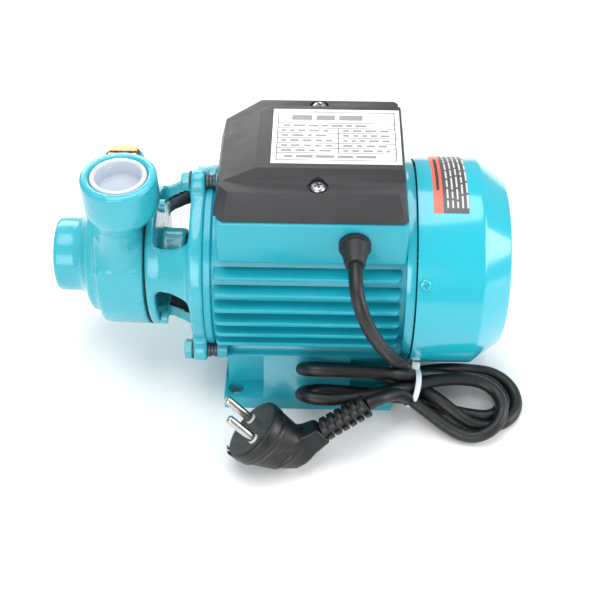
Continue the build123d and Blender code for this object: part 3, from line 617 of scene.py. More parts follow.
def makeCasing():
    size, cell = casing, casing["cell"]
    low, high = edges("pump_casing")
    low, high = [v - 2.5 * cell for v in low], [v + 2.5 * cell for v in high]
    p = gridOf(low, high, cell)
    x, y = size["boss"]
    body = turnedField(p, size["profile"])
    # discharge boss, tapering to its neck
    taper = np.interp(p[2], [100.0, 106.0, 117.5, 121.0], [0.0, 0.12, 0.94, 1.0])
    radius = size["neckRadius"] + (size["bossRadius"] - size["neckRadius"]) * taper
    shift = size["neckX"] + (x - size["neckX"]) * taper
    boss = np.hypot(p[0] - shift, p[1] - y) - radius
    boss = np.maximum(boss * 0.86, np.maximum(p[2] - size["bossTop"], shaftZ + 16 - p[2]))
    body = join(body, boss, 7.0)
    px, py = size["priming"]
    body = join(body, rodZ(p, shaftZ + 18, size["primingTop"], size["primingRadius"], px, py, 1.4), 5.0)
    # mould line down the near side of the boss and round the casing, and small casting ridges
    line = np.abs(p[0] - (x - 2.5)) - 0.35
    raised = body - 0.45 * np.exp(-np.maximum(line, 0) ** 2 / 0.5)
    body = np.where((p[1] < y - 6) & (p[2] > 96), raised, body)
    for place, reach in size["ridges"]:
        ridge = rodX(p, place - reach, place + reach, 0.9, *onCircle(39.0, 40 + place * 0.12), 0.6)
        body = join(body, ridge, 2.2)
    body = softenField(body, 2)
    # flat joint face below the boss, and flat port faces
    body = np.maximum(body, np.minimum(p[0] - size["joint"], size["jointTop"] - p[2]))
    body = np.maximum(body, np.maximum(p[2] - size["bossTop"], size["portFace"] - p[0]))
    for x0, x1, radius, blend in size["hollows"]:
        body = cut(body, rodX(p, x0, x1, radius, edge=0.2), blend)
    body = cut(body, rodZ(p, 119, 150, size["portBore"], x, y, 0.2), 1.0)
    body = cut(body, rodZ(p, 104, 130, size["primingBore"], px, py, 0.2), 1.0)
    mesh = skinned("castCasing", body, low, cell)
    piece = newPiece("castCasing", mesh, "castPaint")
    return settle(piece, "pump_body", "cast_paint", "pump_casing")


# lantern bracket: pump flange, hub, three flared legs, motor flange with bolt ears
bracket = {
    "cell": 1.0, "flange": (-89.0, -83.5), "flangeRadius": 39.4, "hubRadius": 16.0, "hubEnd": -69.8,
    "motorFlange": (-63.8, -56.0), "motorRadius": 51.5, "legAngles": (30, 150, 270), "legSpread": 34.0,
    "boltAngles": (90, 210, 330), "boltCircle": 54.5, "earRadius": 6.4, "windowX": (-81.5, -60.5),
    "windowR": (20.5, 45.0),
    # shaft hole, seal seat and bearing seat: from x, to x, radius
    "hollows": ((-95, -50, 6.4), (-86.5, -74.0, 12.6), (-57.7, -50.0, 16.0)),
}


def makeBracket():
    size, cell = bracket, bracket["cell"]
    low, high = [-91.5, -60.0, 2.0], [-53.5, 60.0, 126.5]
    p = gridOf(low, high, cell)
    r = np.hypot(p[1], p[2] - shaftZ)
    clock = np.degrees(np.arctan2(p[2] - shaftZ, -p[1]))
    body = rodX(p, *size["flange"], size["flangeRadius"], edge=1.0)
    body = join(body, rodX(p, size["flange"][1] - 1, size["hubEnd"], size["hubRadius"], edge=1.6), 3.0)
    outer = np.interp(p[0], [-84.5, -79.6, -62.8], [38.4, 40.4, 48.8])
    inner = np.interp(p[0], [-84.5, -62.8], [29.5, 40.8])
    legs = None
    for angle in size["legAngles"]:
        offAngle = np.abs((clock - angle + 180) % 360 - 180)
        half = size["legSpread"] / 2 + np.interp(p[0], [-84, -74, -64], [1.5, 0.0, 3.0])
        side = r * np.radians(offAngle - half)
        leg = np.maximum(np.maximum(r - outer, inner - r), side)
        leg = np.maximum(leg, np.maximum(-84.5 - p[0], p[0] + 62.8))
        legs = leg if legs is None else np.minimum(legs, leg)
    body = join(body, legs, 3.5)
    ring = rodX(p, *size["motorFlange"], size["motorRadius"], edge=1.0)
    ring = cut(ring, rodX(p, -70, -50, 36.0, edge=0.4))
    for angle in size["boltAngles"]:
        y, z = onCircle(size["boltCircle"], angle)
        ear = rodX(p, *size["motorFlange"], size["earRadius"], y, z, 0.8)
        turn = math.radians(90 - angle)
        flat = [p[0], p[1] * math.cos(turn) - (p[2] - shaftZ) * math.sin(turn),
                p[1] * math.sin(turn) + (p[2] - shaftZ) * math.cos(turn)]
        web = brick(flat, (-63.8, -6.4, 45.0), (-56.0, 6.4, size["boltCircle"]), 0.8)
        rib = turnedRib(p, angle + 60)
        ring = join(join(join(ring, ear, 1.0), web, 3.0), rib, 2.0)
    body = join(body, ring, 4.0)
    body = join(body, rodX(p, -65.8, -56.0, 21.5, edge=0.8), 1.5)
    body = softenField(body, 1)
    body = np.maximum(body, np.maximum(p[0] + 56.0, -89.0 - p[0]))
    for x0, x1, radius in size["hollows"]:
        body = cut(body, rodX(p, x0, x1, radius, edge=0.1))
    for angle in size["boltAngles"]:
        body = cut(body, rodX(p, -70, -50, 3.2, *onCircle(size["boltCircle"], angle), 0.1))
    piece = newPiece("lanternBracket", skinned("lanternBracket", body, low, cell), "castPaint")
    # painted shade: the faces inside the windows take the dark finish
    shadeWindows(piece, size)
    return settle(piece, "pump_body", "cast_paint", "bracket_pump_end", "bracket_hub", "bracket_legs",
                  "bracket_motor_end")


def shadeWindows(piece, size):
    # painted shade inside the windows: a dark finish on the leg undersides and the facing sides of both flanges,
    # where shade falls
    piece.data.materials.append(finishes["windowPaint"])
    (x0, x1), (r0, r1) = size["windowX"], size["windowR"]
    for face in piece.data.polygons:
        x, y, z = face.center / mm
        radius = math.hypot(y, z - shaftZ)
        if not x0 < x < x1 or not r0 < radius < r1:
            continue
        inward = -(face.normal.y * y + face.normal.z * (z - shaftZ)) / radius
        if inward > 0.3 or (abs(face.normal.x) > 0.6 and radius < r1 - 4):
            face.material_index = 1


def turnedRib(p, angle):
    turn = math.radians(90 - angle)
    flat = [p[0], p[1] * math.cos(turn) - (p[2] - shaftZ) * math.sin(turn),
            p[1] * math.sin(turn) + (p[2] - shaftZ) * math.cos(turn)]
    return brick(flat, (-63.3, -5.0, 18.0), (-56.5, 5.0, 38.0), 0.8)


makeCasing()
makeBracket()
print("castings made")


# geometry node trees
def newTree(name, inputs):
    # a tree with one geometry output and named inputs, each (label, socket type, default)
    tree = bpy.data.node_groups.new(name, "GeometryNodeTree")
    tree.interface.new_socket("Geometry", in_out="OUTPUT", socket_type="NodeSocketGeometry")
    names = {}
    for label, kind, value in inputs:
        socket = tree.interface.new_socket(label, in_out="INPUT", socket_type="NodeSocket" + kind)
        if value is not None:
            socket.default_value = value
        names[label] = socket.identifier
    return tree, tree.nodes.new("NodeGroupInput"), tree.nodes.new("NodeGroupOutput"), names


def fill(tree, sockets, values):
    for socket, value in zip(sockets, values):
        if isinstance(value, bpy.types.NodeSocket):
            tree.links.new(value, socket)
        else:
            socket.default_value = value


def mathNode(tree, operation, *values):
    node = tree.nodes.new("ShaderNodeMath")
    node.operation = operation
    fill(tree, node.inputs, values)
    return node.outputs[0]


def addNode(tree, kind, inputs, mode=None):
    # one node with its inputs set or linked by name; gives its first output
    node = tree.nodes.new(kind)
    if mode:
        node.mode = mode
    fill(tree, [node.inputs[label] for label in inputs], inputs.values())
    return node.outputs[0]


def endTree(tree, points, part, start, end, turn=(0, 0, 0)):
    # copies of the part on the points, ending in real geometry with one finish
    spread = addNode(tree, "GeometryNodeInstanceOnPoints", {"Points": points, "Instance": part, "Rotation": turn})
    real = addNode(tree, "GeometryNodeRealizeInstances", {"Geometry": spread})
    paint = addNode(tree, "GeometryNodeSetMaterial", {"Geometry": real, "Material": start.outputs["Material"]})
    tree.links.new(paint, end.inputs["Geometry"])


def grown(name, tree, names, values, finish, angle=32.0):
    # runs a tree on an empty object and keeps the result as a plain mesh
    piece = bpy.data.objects.new(name, bpy.data.meshes.new(name))
    scene.collection.objects.link(piece)
    modifier = piece.modifiers.new("grow", "NODES")
    modifier.node_group = tree
    for label, value in values.items():
        modifier[names[label]] = value
    modifier[names["Material"]] = finishes[finish]
    applied(piece)
    crisp(piece.data, angle)
    return piece


def finTree():
    # level fins on both flanks of a barrel: each reaches out to the tip circle at its own height
    tree, start, end, names = newTree("coolingFins", [
        ("Count", "Int", 6), ("First height", "Float", 0.0), ("Pitch", "Float", 0.01),
        ("Tip radius", "Float", 0.05), ("Axis height", "Float", 0.0), ("Length", "Float", 0.1),
        ("Depth", "Float", 0.01), ("Thickness", "Float", 0.002), ("Corner", "Float", 0.002),
        ("Middle", "Float", 0.0), ("Material", "Material", None)])
    size = start.outputs
    # one fin: a plate with rounded corners, twice as deep as it shows
    plate = addNode(tree, "GeometryNodeCurvePrimitiveQuadrilateral",
                    {"Width": size["Length"], "Height": mathNode(tree, "MULTIPLY", size["Depth"], 2.0)})
    rounding = {"Curve": plate, "Count": 6, "Radius": size["Corner"]}
    corners = addNode(tree, "GeometryNodeFilletCurve", rounding, "POLY")
    filled = addNode(tree, "GeometryNodeFillCurve", {"Curve": corners}, "NGONS")
    up = addNode(tree, "ShaderNodeCombineXYZ", {"Z": size["Thickness"]})
    thick = addNode(tree, "GeometryNodeExtrudeMesh", {"Mesh": filled, "Offset": up, "Individual": False})
    closed = tree.nodes.new("GeometryNodeJoinGeometry")
    tree.links.new(thick, closed.inputs["Geometry"])
    tree.links.new(addNode(tree, "GeometryNodeFlipFaces", {"Mesh": filled}), closed.inputs["Geometry"])
    fin = addNode(tree, "GeometryNodeMergeByDistance", {"Geometry": closed.outputs[0], "Distance": 1e-6})
    # one point a fin, first on the near flank and then on the far one
    row = addNode(tree, "GeometryNodeMeshLine",
                  {"Count": mathNode(tree, "MULTIPLY", size["Count"], 2.0), "Offset": (0, 0, 0)})
    index = tree.nodes.new("GeometryNodeInputIndex").outputs["Index"]
    number = mathNode(tree, "MODULO", index, size["Count"])
    farSide = mathNode(tree, "GREATER_THAN", index, mathNode(tree, "SUBTRACT", size["Count"], 0.5))
    drop = mathNode(tree, "MULTIPLY", number, size["Pitch"])
    height = mathNode(tree, "SUBTRACT", size["First height"], drop)
    above = mathNode(tree, "SUBTRACT", height, size["Axis height"])
    square = mathNode(tree, "POWER", size["Tip radius"], 2.0)
    reach = mathNode(tree, "SQRT", mathNode(tree, "SUBTRACT", square, mathNode(tree, "MULTIPLY", above, above)))
    outward = mathNode(tree, "SUBTRACT", reach, size["Depth"])
    side = mathNode(tree, "SUBTRACT", mathNode(tree, "MULTIPLY", farSide, 2.0), 1.0)
    place = addNode(tree, "ShaderNodeCombineXYZ",
                    {"X": size["Middle"], "Y": mathNode(tree, "MULTIPLY", outward, side),
                     "Z": mathNode(tree, "SUBTRACT", height, size["Thickness"])})
    points = addNode(tree, "GeometryNodeSetPosition", {"Geometry": row, "Position": place})
    endTree(tree, points, fin, start, end)
    return tree, names


def partOf(tree, start):
    part = tree.nodes.new("GeometryNodeObjectInfo")
    tree.links.new(start.outputs["Part"], part.inputs["Object"])
    return part.outputs["Geometry"]


def ringTree():
    # copies of one part on a circle about the shaft, each turned to face outwards
    tree, start, end, names = newTree("partsOnCircle", [
        ("Part", "Object", None), ("Count", "Int", 3), ("Radius", "Float", 0.05), ("First angle", "Float", 0.0),
        ("Axis height", "Float", 0.0), ("Material", "Material", None)])
    size = start.outputs
    row = addNode(tree, "GeometryNodeMeshLine", {"Count": size["Count"], "Offset": (0, 0, 0)})
    index = tree.nodes.new("GeometryNodeInputIndex").outputs["Index"]
    step = mathNode(tree, "DIVIDE", 2 * math.pi, size["Count"])
    angle = mathNode(tree, "ADD", mathNode(tree, "MULTIPLY", index, step), size["First angle"])
    across = mathNode(tree, "MULTIPLY", mathNode(tree, "COSINE", angle), size["Radius"])
    rise = mathNode(tree, "MULTIPLY", mathNode(tree, "SINE", angle), size["Radius"])
    place = addNode(tree, "ShaderNodeCombineXYZ", {"Y": mathNode(tree, "MULTIPLY", across, -1.0),
                                                   "Z": mathNode(tree, "ADD", rise, size["Axis height"])})
    points = addNode(tree, "GeometryNodeSetPosition", {"Geometry": row, "Position": place})
    turn = addNode(tree, "ShaderNodeCombineXYZ", {"X": mathNode(tree, "SUBTRACT", math.pi / 2, angle)})
    endTree(tree, points, partOf(tree, start), start, end, turn)
    return tree, names


def pointTree():
    # copies of one part in a straight row
    tree, start, end, names = newTree("partsAtPoints", [
        ("Part", "Object", None), ("First point", "Vector", None), ("Step", "Vector", None), ("Count", "Int", 2),
        ("Material", "Material", None)])
    size = start.outputs
    points = addNode(tree, "GeometryNodeMeshLine", {"Count": size["Count"], "Start Location": size["First point"],
                                                    "Offset": size["Step"]})
    endTree(tree, points, partOf(tree, start), start, end)
    return tree, names


ringParts, ringNames = ringTree()
rowParts, rowNames = pointTree()


def repeated(name, mesh, tree, names, values, finish):
    pattern = newPiece(name + "Pattern", mesh, finish)
    piece = grown(name, tree, names, {"Part": pattern, **values}, finish)
    bpy.data.objects.remove(pattern)
    return piece


def aroundShaft(name, mesh, count, radius, firstAngle, finish):
    values = {"Count": count, "Radius": radius * mm, "First angle": math.radians(firstAngle),
              "Axis height": shaftZ * mm}
    return repeated(name, mesh, ringParts, ringNames, values, finish)


def inRow(name, mesh, first, step, count, finish):
    values = {"First point": tuple(Vector(first) * mm), "Step": tuple(Vector(step) * mm), "Count": count}
    return repeated(name, mesh, rowParts, rowNames, values, finish)


# motor housing: turned barrel, level fins, terminal box and bolt lugs
housing = {
    "front": -56.0, "back": 51.0, "barrel": 50.0, "bore": 46.0, "collar": 51.8, "collarWidth": 4.0,
    "finCount": 6, "finTop": 92.9, "finPitch": 8.4, "finThick": 2.4, "finDepth": 10.6, "tipRadius": 57.0,
    "finEnds": (-50.4, 48.6), "boxX": (-47.6, 50.6), "boxHalf": 43.5, "boxZ": (98.5, 126.0),
    "lugRadius": 5.0, "lugCircle": 54.0, "lugs": ((-50.4, -45.0), (45.0, 51.0)), "boltAngles": (90, 210, 330),
}


def prism(name, outline, low, high, axis="Z"):
    # straight-sided solid from a list of outline points
    def point(a, b, c):
        return {"Z": (a, b, c), "X": (c, a, b)}[axis]
    count = len(outline)
    points = [point(a, b, low) for a, b in outline] + [point(a, b, high) for a, b in outline]
    faces = [tuple(range(count))[::-1], tuple(range(count, 2 * count))]
    faces += [(i, (i + 1) % count, count + (i + 1) % count, count + i) for i in range(count)]
    return joined(name, [meshFrom(name, points, faces)], outward=True)


def makeHousing():
    size = housing
    front, back = size["front"], size["back"]
    collarEnd = front + size["collarWidth"]
    profile = [(front, size["bore"]), (front, size["collar"] - 0.5), (front + 0.5, size["collar"]),
               (collarEnd - 0.5, size["collar"]), (collarEnd, size["collar"] - 0.5),
               (collarEnd, size["barrel"] + 0.6), (collarEnd + 0.8, size["barrel"]), (back, size["barrel"]),
               (back, size["bore"]), (front, size["bore"])]
    mesh = turnedMesh("motorBarrel", profile, (0, 0, shaftZ), "X", 160)
    barrel = newPiece("motorBarrel", mesh, "housingPaint")
    crisp(barrel.data, 35)
    tree, names = finTree()
    ends = size["finEnds"]
    fins = grown("coolingFins", tree, names, {
        "Count": size["finCount"], "First height": size["finTop"] * mm, "Pitch": size["finPitch"] * mm,
        "Tip radius": size["tipRadius"] * mm, "Axis height": shaftZ * mm, "Length": (ends[1] - ends[0]) * mm,
        "Depth": size["finDepth"] * mm, "Thickness": size["finThick"] * mm, "Corner": 3.0 * mm,
        "Middle": (ends[0] + ends[1]) / 2 * mm}, "housingPaint")
    trimFins(fins, size)
    bevelled(fins, 0.55, 40, 2)
    crisp(fins.data, 50)
    box = makeBox(size)
    lugs = []
    for index, (x0, x1) in enumerate(size["lugs"]):
        lugs.append(aroundShaft("housingLugs" + str(index), lugMesh(size, x0, x1), 3, size["lugCircle"],
                                size["boltAngles"][0], "housingPaint"))
    settle(barrel, "pump_body", "housing_paint", "motor_housing")
    for piece in [fins, box] + lugs:
        settle(piece, "pump_body", "housing_paint")


def trimFins(fins, size):
    # the plates are twice as deep as a fin: what lies inside the barrel's wall is cut away
    work = bmesh.new()
    work.from_mesh(fins.data)
    inner = (size["barrel"] - 2.6) * mm
    for vertex in work.verts:
        z = vertex.co.z - shaftZ * mm
        if math.hypot(vertex.co.y, z) < inner:
            vertex.co.y = math.copysign(math.sqrt(max(inner ** 2 - z ** 2, 0)), vertex.co.y)
    work.to_mesh(fins.data)
    work.free()


def lugMesh(size, x0, x1):
    # round lug with a web down to the barrel, made at the top of the circle and about its own centre
    radius = size["lugRadius"]
    arc = [(radius * math.cos(a), radius * math.sin(a)) for a in (math.pi * i / 14 for i in range(15))]
    drop = size["barrel"] - 2.5 - size["lugCircle"]
    outline = arc + [(-radius, drop), (radius, drop)]
    return prism("lug", outline, x0, x1, "X")


def makeBox(size):
    # a box with a recess in its top and rounded edges
    x0, x1 = size["boxX"]
    half, (z0, z1) = size["boxHalf"], size["boxZ"]
    rim, rimDrop = 3.6, 10.2
    outer = [(x0, -half), (x1, -half), (x1, half), (x0, half)]
    inner = [(x0 + rim, -half + rim), (x1 - rim, -half + rim), (x1 - rim, half - rim), (x0 + rim, half - rim)]
    rings = [(outer, z0), (outer, z1), (inner, z1), (inner, z1 - rimDrop)]
    points = [(x, y, z) for ring, z in rings for x, y in ring]
    faces = [(3, 2, 1, 0), (12, 13, 14, 15)]
    for level in range(3):
        base = level * 4
        faces += [(base + i, base + (i + 1) % 4, base + 4 + (i + 1) % 4, base + 4 + i) for i in range(4)]
    box = newPiece("terminalBox", meshFrom("terminalBox", points, faces), "housingPaint")
    bevelled(box, 1.6, 30, 3)
    crisp(box.data, 60)
    return box


makeHousing()
print("motor housing made")


# foot, endshield, terminal cover, priming plug and lead boot keep their CAD shape, with rounded edges
softParts = {
    "foot_base": dict(piece="boltingFoot", finish="housingPaint", slot="housing_paint", width=0.9, angle=28),
    "rear_endshield": dict(piece="endShield", finish="coverPaint", slot="cover_paint", width=0.6, angle=35),
    "terminal_cover": dict(piece="terminalCover", finish="blackPlastic", slot="black_plastic", width=1.1,
                           angle=12),
    "priming_plug": dict(piece="primingPlug", finish="brass", slot="brass", width=0.35, angle=40,
                         body="priming_screw"),
    "cord_boot": dict(piece="leadBoot", finish="blackRubber", slot="black_rubber", width=0.7, angle=25),
}


def makeSoftParts():
    for node, look in softParts.items():
        piece = softened(node, look["piece"], look["finish"], look["width"], look["angle"], 3)
        settle(piece, look.get("body", "pump_body"), look["slot"], node)


# fan cover: drawn steel, with rounded shoulders and a slotted end
fanCover = {
    "front": 56.6, "radius": 58.3, "coneStart": 91.0, "end": 107.1, "endRadius": 46.8, "wall": 1.4,
    "shoulder": 4.0, "endShoulder": 3.0, "slotRings": (12.0, 20.0, 28.0, 36.0), "slotHalf": 2.2, "ribHalf": 2.6,
    "ribReach": (6.0, 38.6), "ribs": 4,
}


def roundedProfile(corners, radii, steps=7):
    # outline through the corners, each replaced by an arc of its own radius
    points = []
    count = len(corners)
    for index, corner in enumerate(corners):
        here = Vector(corner)
        radius = radii[index]
        if radius <= 0 or index in (0, count - 1):
            points.append(tuple(here))
            continue
        before = (Vector(corners[index - 1]) - here).normalized()
        after = (Vector(corners[index + 1]) - here).normalized()
        half = before.angle(after) / 2
        run = radius / math.tan(half)
        centre = here + (before + after).normalized() * radius / math.sin(half)
        first, last = here + before * run - centre, here + after * run - centre
        for step in range(steps + 1):
            mixed = first.lerp(last, step / steps).normalized() * radius
            points.append(tuple(centre + mixed))
    return points


def makeFanCover():
    size = fanCover
    wall, end, tip = size["wall"], size["end"], size["endRadius"]
    front, cone, radius = size["front"], size["coneStart"], size["radius"]
    shoulder, endShoulder = size["shoulder"], size["endShoulder"]
    opening = size["slotRings"][-1] + size["slotHalf"]
    outside = roundedProfile([(front, radius), (cone, radius), (end, tip - 0.4), (end, opening)],
                             [0, shoulder, endShoulder, 0])
    inside = roundedProfile([(end - wall, opening), (end - wall, tip - 1.0), (cone - 0.6, radius - wall),
                             (front, radius - wall)], [0, endShoulder, shoulder, 0])
    mesh = turnedMesh("fanCover", outside + inside + outside[:1], (0, 0, shaftZ), "X", 192)
    cover = newPiece("fanCover", mesh, "coverPaint")
    crisp(cover.data, 40)
    settle(cover, "pump_body", "cover_paint", "fan_cover")
    grill = newPiece("fanGrill", grillMesh(size), "coverPaint")
    bevelled(grill, 0.4, 50, 2)
    crisp(grill.data, 50)
    settle(grill, "pump_body", "cover_paint")


def grillMesh(size):
    # flat rings between the slots, tied together by four ribs
    low, high, half = size["end"] - size["wall"], size["end"], size["slotHalf"]
    rings = size["slotRings"]
    spans = [(0.0, rings[0] - half)] + [(inner + half, outer - half) for inner, outer in zip(rings, rings[1:])]
    meshes = []
    for inner, outer in spans:
        profile = [(low, inner), (low, outer), (high, outer), (high, inner)]
        if inner > 0:
            profile.append(profile[0])
        meshes.append(turnedMesh("ring", profile, (0, 0, shaftZ), "X", 96))
    wide, (r0, r1), count = size["ribHalf"], size["ribReach"], size["ribs"]
    for step in range(count):
        rib = prism("rib", [(-wide, r0), (wide, r0), (wide, r1), (-wide, r1)], low + 0.1, high - 0.1, "X")
        turn = Matrix.Rotation(math.radians((step + 0.5) * 360 / count), 4, "X")
        rib.transform(Matrix.Translation((0, 0, shaftZ * mm)) @ turn)
        meshes.append(rib)
    return joined("fanGrill", meshes)


makeSoftParts()
makeFanCover()
print("foot, endshield and covers made")


# shipping cap in the discharge port: thick rounded rim and a sunken floor
cap = {"centre": (-98.0, -21.0), "top": 137.9, "depth": 12.6, "outer": 15.0, "cup": 11.8, "floor": 128.6}


def makeCap():
    size = cap
    top, bottom = size["top"], size["top"] - size["depth"]
    corners = [(bottom, 0), (bottom, size["outer"] - 0.6), (top, size["outer"]), (top, size["cup"] + 0.3),
               (size["floor"], size["cup"] - 0.5), (size["floor"], 0)]
    profile = roundedProfile(corners, [0, 0.6, 1.3, 1.2, 1.6, 0])
    mesh = turnedMesh("dischargeCap", profile, (*size["centre"], 0), "Z", 96)
    piece = newPiece("dischargeCap", mesh, "whitePlastic")
    crisp(piece.data, 60)
    settle(piece, "port_cap", "white_plastic", "discharge_cap")


# screws and bolts
bolts = {
    "circle": 54.5, "angle": 90, "headX": (-69.0, -64.8), "across": 9.6, "shankRadius": 2.9, "shankEnd": -45.6,
    "washer": dict(x=(-64.8, -63.8), radius=5.6), "stack": ((-55.9, 4.2), (-54.1, 3.7), (-52.3, 4.2)),
    "casingCircle": 36.8, "casingHead": (-83.5, -79.5), "casingRadius": 3.6,
    "coverCircle": 58.35, "coverX": 60.6, "coverAngle": 30,
}


def hexBolt(size):
    # head with a turned chamfer, shank behind it, made about the bolt's own line
    x0, x1 = size["headX"]
    radius, shank = size["across"] / math.sqrt(3), size["shankRadius"]
    points, faces = [], []
    for x, scale in ((x0, 0.8), (x0 + 0.7, 1.0), (x1, 1.0)):
        for k in range(6):
            a = math.radians(60 * k)
            points.append((x, radius * scale * math.sin(a), radius * scale * math.cos(a)))
    for base in (0, 6):
        faces += [(base + i, base + (i + 1) % 6, base + 6 + (i + 1) % 6, base + 6 + i) for i in range(6)]
    faces += [(5, 4, 3, 2, 1, 0), tuple(range(12, 18))]
    profile = [(x1 - 0.2, 0), (x1 - 0.2, shank), (size["shankEnd"], shank), (size["shankEnd"], 0)]
    meshes = [meshFrom("head", points, faces), turnedMesh("shank", profile, (0, 0, 0), "X", 32)]
    return joined("hexBolt", meshes, outward=True)


def ringMesh(x0, x1, outer, inner, edge=0.25):
    profile = [(x0, inner), (x0, outer - edge), (x0 + edge, outer), (x1 - edge, outer), (x1, outer - edge),
               (x1, inner), (x0, inner)]
    return turnedMesh("ring", profile, (0, 0, 0), "X", 40)


def makeBolts():
    size = bolts
    tie = aroundShaft("tieBolts", hexBolt(size), 3, size["circle"], size["angle"], "castPaint")
    settle(tie, "pump_body", "cast_paint", "tie_bolts")
    rings = [ringMesh(*size["washer"]["x"], size["washer"]["radius"], 2.95)]
    rings += [ringMesh(x, x + 1.7, radius, 2.95) for x, radius in size["stack"]]
    washers = aroundShaft("tieWashers", joined("washers", rings), 3, size["circle"], size["angle"], "dullZinc")
    settle(washers, "pump_body", "zinc_steel", "tie_bolt_washers")


def panHead(radius, height, below):
    # low domed head and a stub of shank
    dome = [(0, radius)] + [(height * math.sin(a), radius * (0.55 + 0.45 * math.cos(a)))
                            for a in (math.radians(15 * k) for k in range(1, 7))]
    profile = [(-below, 0), (-below, radius * 0.5), (0, radius * 0.5)] + dome + [(height, 0)]
    return turnedMesh("panHead", profile, (0, 0, 0), "Z", 40)


def slotted(piece, slots, top, depth, wide, long):
    # cuts the driver slots with an exact boolean
    cutters = []
    x, y = long / 2, wide / 2
    for angle in slots:
        box = prism("slot", [(-x, -y), (x, -y), (x, y), (-x, y)], top - depth, top + 1.0)
        box.transform(Matrix.Rotation(math.radians(angle), 4, "Z"))
        cutters.append(newPiece("cutter", box, "zincSteel", False))
    for cutter in cutters:
        boolean = piece.modifiers.new("slot", "BOOLEAN")
        boolean.operation = "DIFFERENCE"
        boolean.solver = "EXACT"
        boolean.object = cutter
    applied(piece)
    for cutter in cutters:
        bpy.data.objects.remove(cutter)
    return piece


coverScrews = {
    "x": 4.0, "y": 34.2, "seat": 141.4, "radius": 4.2, "height": 2.6, "slotWide": 1.0, "slotLong": 4.6,
    "slotDepth": 1.3, "turn": 24,
}


def makeCoverScrews():
    size = coverScrews
    head = newPiece("screwHead", panHead(size["radius"], size["height"], 12.0), "zincSteel")
    slotted(head, (size["turn"], size["turn"] + 90), size["height"], size["slotDepth"], size["slotWide"],
            size["slotLong"])
    first = (size["x"], -size["y"], size["seat"])
    screws = inRow("coverScrews", head.data, first, (0, 2 * size["y"], 0), 2, "zincSteel")
    bpy.data.objects.remove(head)
    settle(screws, "pump_body", "zinc_steel", "cover_screws")


makeCap()
makeBolts()
makeCoverScrews()
print("cap, bolts and screws made")


def makeCasingScrews():
    size = bolts
    x0, x1 = size["casingHead"]
    head = turnedMesh("casingScrew", [(x1, 0), (x1, size["casingRadius"]), (x0 + 0.9, size["casingRadius"]),
                                      (x0 + 0.2, size["casingRadius"] - 0.8), (x0, size["casingRadius"] - 1.6),
                                      (x0, 0)], (0, 0, 0), "X", 40)
    screws = aroundShaft("casingScrews", head, 3, size["casingCircle"], size["angle"], "castPaint")
    settle(screws, "pump_body", "cast_paint", "casing_screws")


def makeFanCoverScrews():
    size = bolts
    head = newPiece("screwHead", panHead(3.2, 1.5, 3.0), "coverPaint")
    slotted(head, (20, 110), 1.5, 0.8, 0.8, 3.6)
    head.data.transform(Matrix.Translation((size["coverX"] * mm, 0, 0)))
    screws = aroundShaft("fanCoverScrews", head.data.copy(), 3, size["coverCircle"], size["coverAngle"],
                         "coverPaint")
    bpy.data.objects.remove(head)
    settle(screws, "pump_body", "cover_paint", "fan_cover_screws")


# rating plate: white plate with a ruled grid and grey bars where a maker would print
plate = {
    "x": (-20.0, 46.0), "y": (-23.0, 23.0), "top": 148.8, "print": 0.06, "inset": 2.7, "line": 0.42,
    "rows": (10.8, 6.4, 2.2, -1.9, -6.4, -10.5, -14.5), "column": 14.0, "seed": 7,
}


def flatBars(name, bars, z, thick, finish):
    # thin raised rectangles, each (x0, x1, y0, y1)
    meshes = [prism("bar", [(x0, y0), (x1, y0), (x1, y1), (x0, y1)], z - 0.05, z + thick)
              for x0, x1, y0, y1 in bars]
    return newPiece(name, joined(name, meshes), finish, False)


def wordBars(chance, x0, x1, y, tall, low, high, gap):
    # a row of short bars of random length
    bars, x = [], x0
    while x < x1 - low:
        wide = min(chance.uniform(low, high), x1 - x)
        bars.append((x, x + wide, y - tall / 2, y + tall / 2))
        x += wide + gap
    return bars


def makePlate():
    size = plate
    base = softened("nameplate", "ratingPlate", "labelWhite", 0.08, 40, 2)
    settle(base, "pump_body", "label_white", "nameplate")
    chance = random.Random(size["seed"])
    (x0, x1), (y0, y1) = size["x"], size["y"]
    x0, x1, y0, y1 = x0 + size["inset"], x1 - size["inset"], y0 + size["inset"], y1 - size["inset"]
    w = size["line"] / 2
    rules = [(x0 - w, x1 + w, y - w, y + w) for y in (y0, y1, *size["rows"])]
    rules += [(x - w, x + w, y0, y1) for x in (x0, x1)]
    rules.append((size["column"] - w, size["column"] + w, size["rows"][-1], size["rows"][1]))
    grid = flatBars("plateRules", rules, size["top"], size["print"], "printBlack")
    settle(grid, "pump_body", "label_white")
    words = wordBars(chance, x0 + 7.0, x1 - 8.0, (y1 + size["rows"][0]) / 2, 4.4, 9.0, 14.0, 2.2)
    subtitle = (size["rows"][0] + size["rows"][1]) / 2
    words += wordBars(chance, x0 + 3.0, x1 - 12.0, subtitle, 1.8, 3.0, 9.0, 1.6)
    for upper, lower in zip(size["rows"][1:], size["rows"][2:]):
        y = (upper + lower) / 2
        words += wordBars(chance, x0 + 2.0, size["column"] - 3.0, y, 1.7, 2.0, 6.0, 2.0)
        words += wordBars(chance, size["column"] + 2.5, x1 - 3.0, y, 1.7, 2.0, 6.0, 2.0)
    words += wordBars(chance, x0 + 4.0, x1 - 5.0, (size["rows"][-1] + y0) / 2, 2.2, 4.0, 11.0, 1.5)
    text = flatBars("plateWords", words, size["top"], size["print"], "printGrey")
    settle(text, "pump_body", "label_white")


# sticker on the fan cover: orange band, dark panel and pale bars running round the cover
sticker = {"x": (64.6, 83.0), "band": 69.6, "angles": (67.5, 125.0), "radius": 58.3, "thick": 0.16, "seed": 3}


